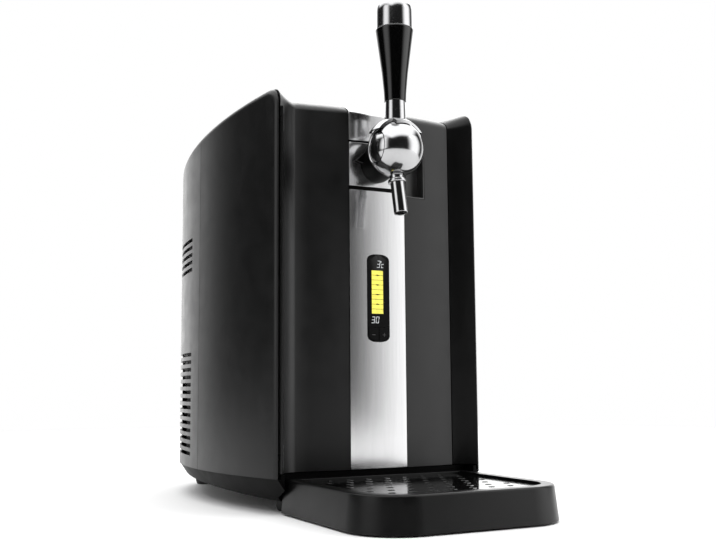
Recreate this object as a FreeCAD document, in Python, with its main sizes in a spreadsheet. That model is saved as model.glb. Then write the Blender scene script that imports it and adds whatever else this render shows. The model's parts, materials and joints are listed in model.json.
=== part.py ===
import FreeCAD, Part
import math
import os
import Sketcher

# Mini keg beer dispenser. X right, Y to the back, Z up, millimetres.
# The origin lies on the floor, under the middle of the whole machine.
# The front panel's edge plane is the datum of every depth: see at().

V = FreeCAD.Vector
doc = FreeCAD.newDocument("KegDispenser")
sheet = doc.addObject("Spreadsheet::Sheet", "Sizes")
parts = {}
rows = []


class Size:
    """A length with its value and the sheet expression that gives it."""

    def __init__(self, text, value):
        self.text = text
        self.value = value

    def join(self, sign, other, value):
        return Size("(" + self.text + sign + other.text + ")", value)

    def __add__(self, other):
        other = size(other)
        return self.join(" + ", other, self.value + other.value)

    def __sub__(self, other):
        other = size(other)
        return self.join(" - ", other, self.value - other.value)

    def __mul__(self, other):
        other = size(other)
        return self.join(" * ", other, self.value * other.value)

    def __truediv__(self, other):
        other = size(other)
        return self.join(" / ", other, self.value / other.value)

    def __neg__(self):
        return size(0) - self

    def __radd__(self, other):
        return size(other) + self

    def __rsub__(self, other):
        return size(other) - self

    def __rmul__(self, other):
        return size(other) * self


def size(number):
    if isinstance(number, Size):
        return number
    return Size("(%s)" % float(number), float(number))


def cell(name, value):
    """One driving dimension in the sheet."""
    rows.append(name)
    row = len(rows)
    sheet.set("A%d" % row, name)
    sheet.set("B%d" % row, str(value))
    sheet.setAlias("B%d" % row, name)
    return Size("Sizes." + name, float(value))


# ---------------------------------------------------------------- driving sizes
face = cell("face_plane", -86)
top_height = cell("handle_top", 444)
front_half = cell("front_half_width", 99.8)
widest_half = cell("widest_half_width", 123.5)
widest_depth = cell("widest_depth", 130)
rear_depth = cell("rear_depth", 335)
rear_reach = cell("rear_ellipse_reach", 215)
lip_depth = cell("side_lip_depth", -12.5)
seam_depth = cell("side_seam_depth", 125)
case_top = cell("case_top_front", 365)
case_rear_top = cell("case_top_rear", 322)
case_bottom = cell("case_bottom", 30)
case_wall = cell("case_wall", 2.4)
case_edge = cell("case_edge_radius", 7)
case_nose = cell("case_nose_radius", 16)
cover_inset = cell("top_cover_inset", 3.6)

panel_half = cell("panel_half_width", 77.8)
wing_half = cell("wing_half_width", 97.1)
wing_flare = cell("wing_flare", 12.5)
wing_rise = cell("wing_rise", 3.7)
doorway_half = cell("doorway_half_width", 98.3)
panel_bulge = cell("panel_bulge", 5)
panel_arch = cell("panel_arch", 1.3)
door_foot = cell("door_bottom", 34.4)
door_top = cell("door_top", 358.9)
roll_depth = cell("top_roll_depth", 26)
roll_drop = cell("top_roll_drop", 12)
door_skin = cell("door_skin", 2.5)
door_back = cell("door_back", 12)
hood_foot = cell("hood_bottom", 345.5)
knuckle_radius = cell("knuckle_radius", 2.8)
hinge_half = cell("hinge_half_width", 94.3)
hinge_depth = cell("hinge_depth", -9.7)
hinge_swing = cell("hinge_swing", 100)
hinge_pin_radius = cell("hinge_pin_radius", 1.5)
arm_half = cell("hinge_arm_half_width", 1.4)
hinge_low = cell("hinge_low", 48)
hinge_high = cell("hinge_high", 334)
running_gap = cell("running_gap", 0.05)

strip_half = cell("strip_half_width", 28.3)
strip_gap_high = cell("strip_gap_high", 323.8)
strip_gap_low = cell("strip_gap_low", 281.6)
pill_half = cell("display_half_width", 10.9)
pill_foot = cell("display_bottom", 144.8)
pill_head = cell("display_top", 223.4)
button_head = cell("button_top", 159.2)

ball_depth = cell("ball_depth", -40)
ball_height = cell("ball_height", 311.2)
ball_radius = cell("ball_radius", 22.6)
pivot_reach = cell("pivot_reach", 18)
neck_radius = cell("neck_radius", 8.9)
lever_swing = cell("lever_swing", 33)
axle_radius = cell("axle_radius", 2.5)
eye_radius = cell("eye_radius", 6)
stem_half = cell("stem_half_width", 4)
stem_depth = cell("stem_depth", 4)
grip_head = cell("grip_top", 416)
spout_radius = cell("spout_radius", 6.1)
spout_lean = cell("spout_lean", 12)

tray_half = cell("tray_half_width", 88.3)
tray_front = cell("tray_front", -160)
tray_rim = cell("tray_rim", 29.2)
tray_foot = cell("tray_bottom", 1.5)
tray_corner = cell("tray_corner", 40)
tray_flare = cell("tray_flare", 3)
tray_wall = cell("tray_wall", 3)

keg_half = cell("chamber_half_width", 82)
keg_floor = cell("chamber_floor", 46)
keg_roof = cell("chamber_roof", 326)
liner_wall = cell("liner_wall", 2.5)
frame_depth = cell("frame_depth", 16.9)
liner_centre = cell("liner_centre", 105)


def at(depth):
    """Y of a depth behind the front panel's edge plane."""
    return face + depth


# ---------------------------------------------------------------- small helpers
def bind(thing, prop, value):
    thing.setExpression(prop, size(value).text)


def place(thing, x, y, z, rotation=None):
    if rotation:
        thing.Placement = FreeCAD.Placement(V(0, 0, 0), rotation)
    bind(thing, "Placement.Base.x", x)
    bind(thing, "Placement.Base.y", y)
    bind(thing, "Placement.Base.z", z)
    return thing


def box(name, x, y, z):
    """A box from three (low, high) pairs."""
    thing = doc.addObject("Part::Box", name)
    bind(thing, "Length", x[1] - size(x[0]))
    bind(thing, "Width", y[1] - size(y[0]))
    bind(thing, "Height", z[1] - size(z[0]))
    return place(thing, x[0], y[0], z[0])


TURN = {
    "x": FreeCAD.Rotation(V(0, 1, 0), 90),
    "y": FreeCAD.Rotation(V(1, 0, 0), -90),
    "z": None,
}


def rod(name, axis, start, radius, length):
    thing = doc.addObject("Part::Cylinder", name)
    bind(thing, "Radius", radius)
    bind(thing, "Height", length)
    return place(thing, *start, TURN[axis])


def cone(name, axis, start, radius_start, radius_end, length):
    thing = doc.addObject("Part::Cone", name)
    bind(thing, "Radius1", radius_start)
    bind(thing, "Radius2", radius_end)
    bind(thing, "Height", length)
    return place(thing, *start, TURN[axis])


def ball(name, centre, radius):
    thing = doc.addObject("Part::Sphere", name)
    bind(thing, "Radius", radius)
    return place(thing, *centre)


def fuse(name, *pieces):
    thing = doc.addObject("Part::MultiFuse", name)
    thing.Shapes = list(pieces)
    return thing


def common(name, *pieces):
    thing = doc.addObject("Part::MultiCommon", name)
    thing.Shapes = list(pieces)
    return thing


def cut(name, base, *tools):
    tool = tools[0] if len(tools) == 1 else fuse(name + "Tools", *tools)
    thing = doc.addObject("Part::Cut", name)
    thing.Base = base
    thing.Tool = tool
    return thing


def group(name, *pieces):
    """Separate solids kept in one node."""
    thing = doc.addObject("Part::Compound", name)
    thing.Links = list(pieces)
    return thing


def rounded(name, base, radius, wanted):
    """Rounds the edges that a test picks."""
    doc.recompute()
    picked = [n + 1 for n, edge in enumerate(base.Shape.Edges) if wanted(edge)]
    thing = doc.addObject("Part::Fillet", name)
    thing.Base = base
    thing.Edges = [(n, radius, radius) for n in picked]
    return thing


def upright(edge):
    box_ = edge.BoundBox
    return box_.XLength < 0.01 and box_.YLength < 0.01


def solid_feature(name, shape):
    thing = doc.addObject("Part::Feature", name)
    thing.Shape = shape
    thing.Placement = FreeCAD.Placement()
    return thing


def keep(node, thing):
    """Names the finished sub-part."""
    thing.Label = node
    parts[node] = thing
    return thing


# ---------------------------------------------------------------- sketch helpers
def new_body(name):
    return doc.addObject("PartDesign::Body", name)


def sketch(body, role, offset=0):
    plane = [f for f in body.Origin.OriginFeatures if f.Role == role][0]
    drawing = body.newObject("Sketcher::SketchObject", body.Name + "Sketch")
    drawing.AttachmentSupport = [(plane, "")]
    drawing.MapMode = "FlatFace"
    bind(drawing, "AttachmentOffset.Base.z", offset)
    return drawing


def fix_point(drawing, geometry, end, x, y):
    for kind, value in (("DistanceX", size(x)), ("DistanceY", size(y))):
        row = drawing.addConstraint(Sketcher.Constraint(kind, -1, 1, geometry, end, value.value))
        drawing.setExpression("Constraints[%d]" % row, value.text)


def outline(drawing, points):
    """A closed outline of straight lines, each corner bound to the sheet."""
    flat = [V(size(x).value, size(y).value, 0) for x, y in points]
    first = drawing.GeometryCount
    for n, point in enumerate(flat):
        drawing.addGeometry(Part.LineSegment(point, flat[(n + 1) % len(flat)]))
    for n in range(len(flat)):
        following = first + (n + 1) % len(flat)
        drawing.addConstraint(Sketcher.Constraint("Coincident", first + n, 2, following, 1))
    for n, (x, y) in enumerate(points):
        fix_point(drawing, first + n, 1, x, y)


def circle(drawing, x, y, radius):
    centre = V(size(x).value, size(y).value, 0)
    radius = size(radius)
    index = drawing.addGeometry(Part.Circle(centre, V(0, 0, 1), radius.value))
    fix_point(drawing, index, 3, x, y)
    row = drawing.addConstraint(Sketcher.Constraint("Radius", index, radius.value))
    drawing.setExpression("Constraints[%d]" % row, radius.text)


def pad(body, drawing, length, backwards=False):
    feature = body.newObject("PartDesign::Pad", body.Name + "Pad")
    feature.Profile = drawing
    bind(feature, "Length", length)
    feature.Reversed = backwards
    return feature


def pocket(body, drawing, length, backwards=False):
    feature = body.newObject("PartDesign::Pocket", body.Name + "Pocket")
    feature.Profile = drawing
    bind(feature, "Length", length)
    feature.Reversed = backwards
    return feature


def revolve(body, drawing, axis="V_Axis"):
    feature = body.newObject("PartDesign::Revolution", body.Name + "Turned")
    feature.Profile = drawing
    feature.ReferenceAxis = (drawing, [axis])
    feature.Angle = 360
    return feature


def repeat_line(body, feature, drawing, axis, length, count):
    pattern = body.newObject("PartDesign::LinearPattern", body.Name + "Row")
    pattern.Originals = [feature]
    pattern.Direction = (drawing, [axis])
    bind(pattern, "Length", length)
    pattern.Occurrences = count
    body.Tip = pattern
    return pattern


def repeat_round(body, feature, drawing, count):
    pattern = body.newObject("PartDesign::PolarPattern", body.Name + "Round")
    pattern.Originals = [feature]
    pattern.Axis = (drawing, ["N_Axis"])
    pattern.Angle = 360
    pattern.Occurrences = count
    body.Tip = pattern
    return pattern


# ---------------------------------------------------------------- the casing
NOSE = 8           # the plan is drawn this far past the front lip, then cut back to it
ROOF_HALF = 84     # half the width of the lowered top cover
HINGE_ROOM = 4.3   # scoop in the side panels round the door's knuckle
SIDE_VENTS = ((219, 5), (41, 14))     # lowest slot and count of each row
VENT_PITCH = 7.3
VENT_TALL = 3.6
REAR_VENTS = 9
REAR_VENT_LOW = 118
REAR_VENT_PITCH = 11
REAR_VENT_TALL = 5


def plan_face(inset):
    """Plan of the casing: side arcs that swell to the widest place, an elliptical back."""
    half = widest_half.value - inset
    middle = at(widest_depth).value
    front = at(lip_depth).value - NOSE
    reach = rear_reach.value - inset
    swell = widest_half.value - front_half.value
    run = widest_depth.value - lip_depth.value
    radius = (swell ** 2 + run ** 2) / (2 * swell) - inset
    centre = half - radius

    def side(y, sign):
        return V(sign * (centre + math.sqrt(radius ** 2 - (y - middle) ** 2)), y, 0)

    right = Part.Arc(side(front, 1), side((front + middle) / 2, 1), V(half, middle, 0))
    left = Part.Arc(V(-half, middle, 0), side((front + middle) / 2, -1), side(front, -1))
    oval = Part.Ellipse(V(0, middle + reach, 0), V(-half, middle, 0), V(0, middle, 0))
    back = Part.ArcOfEllipse(oval, -math.pi / 2, math.pi / 2)
    closing = Part.LineSegment(side(front, -1), side(front, 1))
    wire = Part.Wire([curve.toShape() for curve in (right, back, left, closing)])
    return Part.Face(wire)


def side_face(inset, foot):
    """Side outline of the casing, its top falling to the back."""
    front = at(lip_depth).value + inset
    back = at(rear_depth).value - inset
    high = case_top.value - inset
    low = case_rear_top.value - inset
    corners = [V(0, front, foot), V(0, front, high), V(0, back, low), V(0, back, foot)]
    return Part.Face(Part.makePolygon(corners + corners[:1]))


def case_solid(inset, foot):
    """The casing as one solid with a rounded top edge."""
    reach = widest_half.value + 20
    plan = plan_face(inset)
    plan.translate(V(0, 0, foot))
    prism = plan.extrude(V(0, 0, case_top.value + 20 - foot))
    profile = side_face(inset, foot)
    profile.translate(V(-reach, 0, 0))
    profile = profile.extrude(V(2 * reach, 0, 0))
    front_top = [e for e in profile.Edges if e.BoundBox.ZMin > case_top.value - 5 - inset
                 and e.BoundBox.YMax < face.value]
    profile = profile.makeFillet(case_nose.value - inset, front_top)
    body = prism.common(profile)
    top = [e for e in body.Edges if e.BoundBox.ZMin > case_rear_top.value - 30
           and e.BoundBox.YMax > at(lip_depth).value + inset + 1]
    rim = [e for e in top if e.BoundBox.YLength > 1 or abs(e.BoundBox.YMax - at(rear_depth).value
           + inset) < 1]
    return body.makeFillet(case_edge.value - inset, rim)


def slab(x, y, z):
    """A plain solid for trimming, from three (low, high) pairs of numbers."""
    corner = V(x[0], y[0], z[0])
    return Part.makeBox(x[1] - x[0], y[1] - y[0], z[1] - z[0], corner)


def vent_slots(low, count, pitch, tall):
    """Horizontal slots through both rear flanks of the casing."""
    cutters = []
    for n in range(count):
        foot = low + n * pitch
        cutters.append(slab((-140, 140), (at(150).value, at(262).value), (foot, foot + tall)))
    return cutters


def open_front():
    """Room inside the side walls that runs out through the front, up to the rounded nose."""
    foot = case_bottom.value - 10
    plan = plan_face(case_wall.value)
    plan.translate(V(0, 0, foot))
    room = plan.extrude(V(0, 0, case_top.value - case_nose.value - foot))
    return room.common(slab((-160, 160), (at(lip_depth).value - NOSE, at(40).value), (0, 400)))


def casing():
    outer = case_solid(0, case_bottom.value)
    inner = case_solid(case_wall.value, case_bottom.value - 10)
    shell = outer.cut(inner).cut(open_front())
    front, seam, back = at(-20).value, at(seam_depth).value, at(340).value
    roof_half = ROOF_HALF
    roof_low = case_rear_top.value - 40
    roof_front = at(roll_depth).value + 0.8
    joint = 0.4
    flank = slab((-140, 140), (front, seam - joint), (0, 400))
    roof = slab((-roof_half, roof_half), (front, seam), (roof_low, 400))
    door_half = doorway_half.value
    doorway = slab((-door_half, door_half), (front, roof_front), (0, 400))
    corner = V(-hinge_half.value, at(hinge_depth).value, 0)
    sides = shell.common(flank).cut(roof).cut(doorway).cut(Part.makeCylinder(HINGE_ROOM, 400, corner))
    left = sides.common(slab((-140, 0), (front, seam), (0, 400)))
    right = sides.common(slab((0, 140), (front, seam), (0, 400)))
    edge = roof_half - joint
    inset = cover_inset.value
    lowered = case_solid(inset, case_bottom.value).cut(case_solid(inset + 2, case_bottom.value - 10))
    cover = lowered.common(slab((-edge, edge), (roof_front, seam - joint), (roof_low, 400)))
    rear = shell.common(slab((-140, 140), (seam, back), (0, 400)))
    core = slab((-ROOF_HALF, ROOF_HALF), (at(140).value, at(300).value), (0, 400))
    for low, count in SIDE_VENTS:
        for cutter in vent_slots(low, count, VENT_PITCH, VENT_TALL):
            rear = rear.cut(cutter.cut(core))
    for n in range(REAR_VENTS):
        foot = REAR_VENT_LOW + n * REAR_VENT_PITCH
        rear = rear.cut(slab((-34, 34), (at(300).value, back), (foot, foot + REAR_VENT_TALL)))
    inlet = slab((-31, -9), (at(300).value, back), (49, 67))
    rear = rear.cut(inlet)
    keep("left_side_panel", solid_feature("LeftSide", left))
    keep("right_side_panel", solid_feature("RightSide", right))
    keep("top_cover", solid_feature("TopCover", cover))
    keep("rear_cover", solid_feature("RearCover", rear))


SCREW_PLACES = ((-93, 60), (93, 60), (-98, 180), (98, 180))
PAN_LOW = 10          # height of the pan's underside at the front lip
PAN_SLOPE = 0.045     # its rise per mm of depth
PAN_FLOOR = 3         # thickness of its floor
PAN_DRAW = 14         # how far its foot draws in from the casing's plan
PAN_RIM = 0.8         # the same at its top edge
NECK_INSET = 4        # and for the neck that stands inside the casing
SCREW_BORE = 2.05
SCREW_HEAD_ROOM = 3.8
PLINTH_TOP = 27.6     # level seat of the power supply
SUPPLY_SPAN = (-2, 50)
SUPPLY_DEPTHS = (216, 306)


def pan_height(depth):
    return PAN_LOW + PAN_SLOPE * (depth - lip_depth.value)


def under_pan(span, start, end, lift, high):
    """Space between the sloping underside, raised by lift, and a level top."""
    near, far = at(start).value, at(end).value
    points = [V(span[0], near, pan_height(start) + lift), V(span[0], far, pan_height(end) + lift),
              V(span[0], far, high), V(span[0], near, high)]
    return Part.Face(Part.makePolygon(points + points[:1])).extrude(V(span[1] - span[0], 0, 0))


def base():
    """Floor pan that draws in towards its foot, with two tongues that carry the tray."""
    step = case_bottom.value - 0.3
    top = plan_face(PAN_RIM)
    top.translate(V(0, 0, step))
    low = plan_face(PAN_DRAW)
    low.translate(V(0, 0, PAN_LOW))
    pan = Part.makeLoft([low.OuterWire, top.OuterWire], True, True)
    neck = plan_face(NECK_INSET)
    neck.translate(V(0, 0, step))
    pan = pan.fuse(neck.extrude(V(0, 0, door_foot.value - 0.9 - step)))
    pan = pan.common(slab((-160, 160), (at(lip_depth).value, at(rear_depth).value - 4), (0, 60)))
    pan = pan.common(under_pan((-160, 160), -30, 360, 0, 60))
    notch = tray_half.value + tray_flare.value + 1.2
    pan = pan.cut(slab((-notch, notch), (at(-20).value, at(2).value), (0, 60)))
    pan = pan.cut(under_pan((-82, 82), 16, 250, PAN_FLOOR, 60))
    pan = pan.cut(under_pan((-52, 52), 249, 310, PAN_FLOOR, 60))
    pan = pan.fuse(under_pan(SUPPLY_SPAN, *SUPPLY_DEPTHS, 1, PLINTH_TOP))
    for x in (-62, 42):
        pan = pan.fuse(slab((x, x + 20), (at(-70).value, at(14).value), (6, 12.3)))
    for x, depth in SCREW_PLACES:
        start = V(x, at(depth).value, 0)
        pan = pan.cut(Part.makeCylinder(SCREW_BORE, 30, start))
        pan = pan.cut(Part.makeCylinder(SCREW_HEAD_ROOM, pan_height(depth) + 2.5, start))
    keep("base_pan", solid_feature("BasePan", pan))


def feet():
    """Four round feet that reach up to the sloping underside."""
    pads = None
    for x, depth in ((-74, 26), (74, 26), (-62, 290), (62, 290)):
        pad = Part.makeCone(8.5, 10, 4, V(x, at(depth).value, 0))
        pad = pad.fuse(Part.makeCylinder(10, 30, V(x, at(depth).value, 4)))
        pads = pad if pads is None else pads.fuse(pad)
    pads = pads.cut(under_pan((-160, 160), -30, 360, 0, 60))
    keep("rubber_feet", solid_feature("RubberFeet", pads))


# ---------------------------------------------------------------- the door
def front_depth(x):
    """Depth of the front surface: a bulging middle and two wings that flare forward."""
    x = abs(x)
    half = panel_half.value
    if x <= half:
        return -panel_bulge.value * (1 - (x / half) ** 2)
    return -wing_flare.value * wing_share(x) ** 1.6


def crest(x):
    """Height of the door's top: a flat arch, then the rise of the wings."""
    x = abs(x)
    half = panel_half.value
    if x <= half:
        return door_top.value + panel_arch.value * (1 - (x / half) ** 2)
    return door_top.value + wing_rise.value * wing_share(x)


def wing_share(x):
    """0 up to the crease, 1 at the wing's outer edge."""
    return max(0, (abs(x) - panel_half.value) / (wing_half.value - panel_half.value))


def door_section(x, inset, foot, back, hood):
    """Upright section of the door: straight front, elliptical roll, hood, back."""
    front = at(front_depth(x)).value + inset
    top = crest(x) - inset
    end = at(roll_depth).value
    turn = top - roll_drop.value - 1.6 * wing_share(x)
    points = [V(x, front, foot), V(x, front, turn)]
    edges = [Part.makeLine(*points), roll_curve(V(x, end, turn), end - front, top - turn, wing_share(x))]
    rest = [V(x, end, top), V(x, end, hood), V(x, back, hood), V(x, back, foot), points[0]]
    for first, second in zip(rest, rest[1:]):
        edges.append(Part.makeLine(first, second))
    return Part.Wire(edges)


OVAL = 0.5523      # handle length of the cubic curve that makes a quarter ellipse
TAP_HOLE = 11.5    # radius of the hole for the tap's shank


def roll_curve(middle, reach, drop, share):
    """Roll from the front (low) to the top (back): a quarter ellipse that fills out to the wing's edge."""
    curve = Part.BezierCurve()
    rise = (OVAL + 0.294 * share) * drop
    back = (OVAL + 0.228 * share) * reach
    curve.setPoles([middle + V(0, -reach, 0), middle + V(0, -reach, rise),
                    middle + V(0, -back, drop + 3.9 * share), middle + V(0, 0, drop)])
    return curve.toShape()


def door_loft(stations, inset, foot, back, hood):
    wires = [door_section(x, inset, foot, back, hood) for x in stations]
    return Part.makeLoft(wires, True, False)


def spread(low, high, count):
    return [low + (high - low) * n / (count - 1) for n in range(count)]


def door_block(inset, left, right, foot, back, hood):
    """Door solid between two widths, made of the middle and the wings it reaches."""
    half = panel_half.value
    limits = [left] + [x for x in (-half, half) if left < x < right] + [right]
    solid = None
    for low, high in zip(limits, limits[1:]):
        inner = abs(low + high) / 2 < half
        piece = door_loft(spread(low, high, 7 if inner else 4), inset, foot, back, hood)
        solid = piece if solid is None else solid.fuse(piece)
    return solid


def hinge_notches():
    """Room that the hinge arms sweep in the door's corner, from straight back to fully open."""
    swing = math.radians(90 + hinge_swing.value)
    side = arm_half.value + 0.35
    reach = 40
    away = V(math.cos(swing), math.sin(swing), 0)
    ahead = V(-math.sin(swing), math.cos(swing), 0) * side
    corners = [V(side, 0, 0), V(side, reach, 0), V(-reach, reach, 0), away * reach + ahead, ahead]
    bands = []
    for height in (hinge_low.value, hinge_high.value):
        start = V(-hinge_half.value, at(hinge_depth).value, height - 2.4)
        points = [start + corner for corner in corners]
        sweep = Part.Face(Part.makePolygon(points + points[:1])).extrude(V(0, 0, 4.8))
        bands.append(sweep.fuse(Part.makeCylinder(side, 4.8, start)))
    return bands


def pill_shape(grow, low, high):
    """Display outline as a prism along Y: straight sides with round ends."""
    half = pill_half.value + grow
    foot = pill_foot.value - grow + half
    head = pill_head.value + grow - half
    prism = slab((-half, half), (low, high), (foot, head))
    for height in (foot, head):
        prism = prism.fuse(Part.makeCylinder(half, high - low, V(0, low, height), V(0, 1, 0)))
    return prism.removeSplitter()


def door_pieces():
    back = at(door_back).value
    hood = hood_foot.value
    left = -wing_half.value
    half = panel_half.value
    wing_gap = 0.9
    foot = door_foot.value
    skin = door_skin.value
    body = door_block(0, left, half, foot, back, hood)
    room = door_block(skin, left + 5, half - skin, foot + skin, back + 30, 420)
    body = body.cut(room)
    axis = -hinge_half.value
    rise = 311
    knuckle = Part.makeCylinder(knuckle_radius.value, rise, V(axis, at(hinge_depth).value, foot))
    flank = slab((left, left + 5.5), (at(hinge_depth).value, back), (foot, foot + rise))
    body = body.fuse(knuckle).fuse(flank)
    for band in hinge_notches():
        body = body.cut(band)
    bore = hinge_pin_radius.value + running_gap.value
    for height in (hinge_low.value, hinge_high.value):
        start = V(axis, at(hinge_depth).value, height - 11)
        body = body.cut(Part.makeCylinder(bore, 22, start))
    channel = door_strip(1, 1.3, strip_half.value + 0.3)
    body = body.cut(channel)
    body = body.cut(pill_shape(0.3, at(-12).value, at(2).value))
    tap_hole = Part.makeCylinder(TAP_HOLE, 40, V(0, at(-14).value, ball_height.value), V(0, 1, 0))
    body = body.cut(tap_hole)
    grip = slab((30.3, 50.8), (at(-12).value, at(0).value), (277.1, 317))
    body = body.cut(grip)
    keep("door_panel", solid_feature("DoorPanel", body.removeSplitter()))

    inner = half + wing_gap
    wing = door_block(0, inner, wing_half.value, foot, back, hood)
    room = door_block(skin, inner + 2, wing_half.value - 3, foot + skin, back + 30, 420)
    wing = wing.cut(room)
    axle = V(-hinge_half.value, at(hinge_depth).value, 0)
    reach = hinge_half.value + doorway_half.value - 0.4
    wing = wing.common(Part.makeCylinder(reach, 400, axle))
    keep("right_wing", solid_feature("RightWing", wing.removeSplitter()))


def door_strip(out, deep, half, spare=0):
    """A thin skin that follows the front and wraps over the top roll, spare short at both ends."""
    back = at(60).value
    foot = door_foot.value
    end = at(roll_depth).value - 0.2 - spare
    outer = door_block(-out, -half, half, foot - 5, back, 300)
    inner = door_block(deep, -half - 1, half + 1, foot - 6, back + 1, 300)
    front = slab((-half, half), (at(-30).value, end), (foot - 1 + 4 * spare, 400))
    return outer.cut(inner).common(front)


def strip_pieces():
    """Steel strip in three lengths, with the tap's cover in the middle one."""
    half = strip_half.value
    skin = door_strip(0.35, 0.9, half, 0.35)
    high = strip_gap_high.value
    low = strip_gap_low.value
    wide = (-half - 1, half + 1)
    deep = (at(-30).value, at(60).value)
    upper = skin.common(slab(wide, deep, (high + 1, 400)))
    middle = skin.common(slab(wide, deep, (low + 2, high - 0.6)))
    lower = skin.common(slab(wide, deep, (0, low - 1.6)))
    tap_hole = Part.makeCylinder(TAP_HOLE, 40, V(0, at(-14).value, ball_height.value), V(0, 1, 0))
    keep("strip_upper", solid_feature("StripUpper", upper))
    keep("strip_middle", solid_feature("StripMiddle", middle.cut(tap_hole)))
    display = pill_shape(0.25, at(-12).value, at(2).value)
    keep("strip_lower", solid_feature("StripLower", lower.cut(display)))


def display_pieces():
    """Pill-shaped window over its bar board, with two keys in its foot."""
    front = at(-6).value
    window = pill_shape(0, front, front + 1.6)
    keys = pill_shape(-0.85, front - 0.1, front + 2)
    low = window.common(slab((-20, 20), (front - 1, front + 5), (0, button_head.value)))
    window = window.cut(low.common(pill_shape(-0.45, front - 1, front + 5)))
    keep("display_window", solid_feature("DisplayWindow", window))
    room = (pill_foot.value, button_head.value - 0.5)
    left = keys.common(slab((-20, -0.25), (front - 1, front + 5), room))
    right = keys.common(slab((0.25, 20), (front - 1, front + 5), room))
    keep("minus_button", solid_feature("MinusButton", left))
    keep("plus_button", solid_feature("PlusButton", right))
    board = box("Board", (-9.5, 9.5), (at(-0.9), at(0.7)), (pill_foot + 1, pill_head - 2))
    module = box("Module", (-8.5, 8.5), (at(-4.2), at(-0.9)), (button_head + 4, pill_head - 6))
    keep("display_board", fuse("DisplayBoard", board, module))


def door_back_pieces():
    """Inner cover of the door with the gasket round its edge."""
    back = at(door_back)
    skin = box("LinerPlate", (-83.5, 75), (back + 0.1, back + 2), (door_foot + 5, hood_foot - 4))
    bulge = box("LinerBulge", (-66, 60), (back + 1, at(17.5)), (keg_floor + 8, 250))
    soft = rounded("LinerBulgeRounded", bulge, 2.5, lambda e: e.BoundBox.YLength > 4)
    hole = rod("LinerHole", "y", (0, at(5), ball_height), 12.5, 30)
    keep("door_liner", cut("DoorLiner", fuse("LinerWhole", skin, soft), hole))
    outer = box("SealOuter", (-81.5, 73), (back + 2, back + 4.6), (door_foot + 7, hood_foot - 6))
    inner = box("SealInner", (-74.5, 66), (back + 1, back + 6), (door_foot + 14, hood_foot - 13))
    keep("door_seal", cut("DoorSeal", outer, inner))


def finger_cup():
    """Pull recess beside the tap: an open box let into the front skin."""
    outer = box("CupOuter", (30.5, 50.6), (at(-4.6), at(8.6)), (277.3, 316.8))
    inner = box("CupInner", (31.9, 49.2), (at(-12), at(7.2)), (278.7, 315.4))
    trim = solid_feature("CupTrim", door_strip(12, 0.1, 60))
    keep("finger_cup", cut("FingerCup", outer, inner, trim))


def hinge_arms():
    """Two arms that reach forward from the cabinet to the door's corner."""
    arms = []
    for n, height in enumerate((hinge_low, hinge_high)):
        low = height - 2
        bar = box("ArmBar%d" % n, (-hinge_half - arm_half, arm_half - hinge_half),
                  (at(hinge_depth), at(frame_depth)), (low, low + 4))
        pin = rod("HingePin%d" % n, "z", (-hinge_half, at(hinge_depth), height - 10), hinge_pin_radius, 20)
        arms.append(fuse("HingeArm%d" % n, bar, pin))
    keep("hinge_arms", group("HingeArms", *arms))


# ---------------------------------------------------------------- the cabinet
def front_frame():
    """Frame behind the door: the keg mouth, its collar and the hood's shelf."""
    plan = plan_face(3)
    plan.translate(V(0, 0, door_foot.value))
    block = plan.extrude(V(0, 0, 343.5 - door_foot.value))
    front = at(frame_depth).value
    slice_ = slab((-140, 140), (front, front + 3), (0, 400))
    outer = solid_feature("FrameOuter", block.common(slice_))
    mouth = box("FrameMouth", (-keg_half, keg_half), (at(0), at(60)), (keg_floor, keg_roof))
    keep("front_frame", cut("FrontFrame", outer, mouth))


def chamber():
    """Keg chamber: flat sides, round back, open front."""
    half = keg_half + liner_wall
    deep = (at(frame_depth) + 3.1, at(liner_centre))
    shell = fuse("ChamberOuter",
                 box("ChamberBlock", (-half, half), deep, (keg_floor - liner_wall, keg_roof + liner_wall)),
                 rod("ChamberRound", "z", (0, at(liner_centre), keg_floor - liner_wall), half,
                     keg_roof - keg_floor + liner_wall * 2))
    room = fuse("ChamberInner",
                box("ChamberRoom", (-keg_half, keg_half), (at(0), at(liner_centre)), (keg_floor, keg_roof)),
                rod("ChamberBow", "z", (0, at(liner_centre), keg_floor), keg_half, keg_roof - keg_floor))
    port = box("ColdPort", (-22, 22), (at(170), at(200)), (160, 204))
    keep("chamber_liner", cut("ChamberLiner", shell, room, port))


def insulation():
    """Foam jacket that fills the space between the chamber and the casing."""
    jacket = case_solid(6, 34.2)
    jacket = jacket.common(slab((-130, 130), (at(20.4).value, at(203.8).value), (34.4, 338)))
    half = keg_half.value + liner_wall.value + 0.2
    middle = at(liner_centre).value
    low = keg_floor.value - liner_wall.value - 0.2
    tall = keg_roof.value + liner_wall.value + 0.2 - low
    jacket = jacket.cut(slab((-half, half), (at(0).value, middle), (low, low + tall)))
    jacket = jacket.cut(Part.makeCylinder(half, tall, V(0, middle, low)))
    jacket = jacket.cut(slab((-22.4, 22.4), (at(150).value, at(220).value), (159.6, 204.4)))
    keep("insulation", solid_feature("Insulation", jacket))


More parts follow.
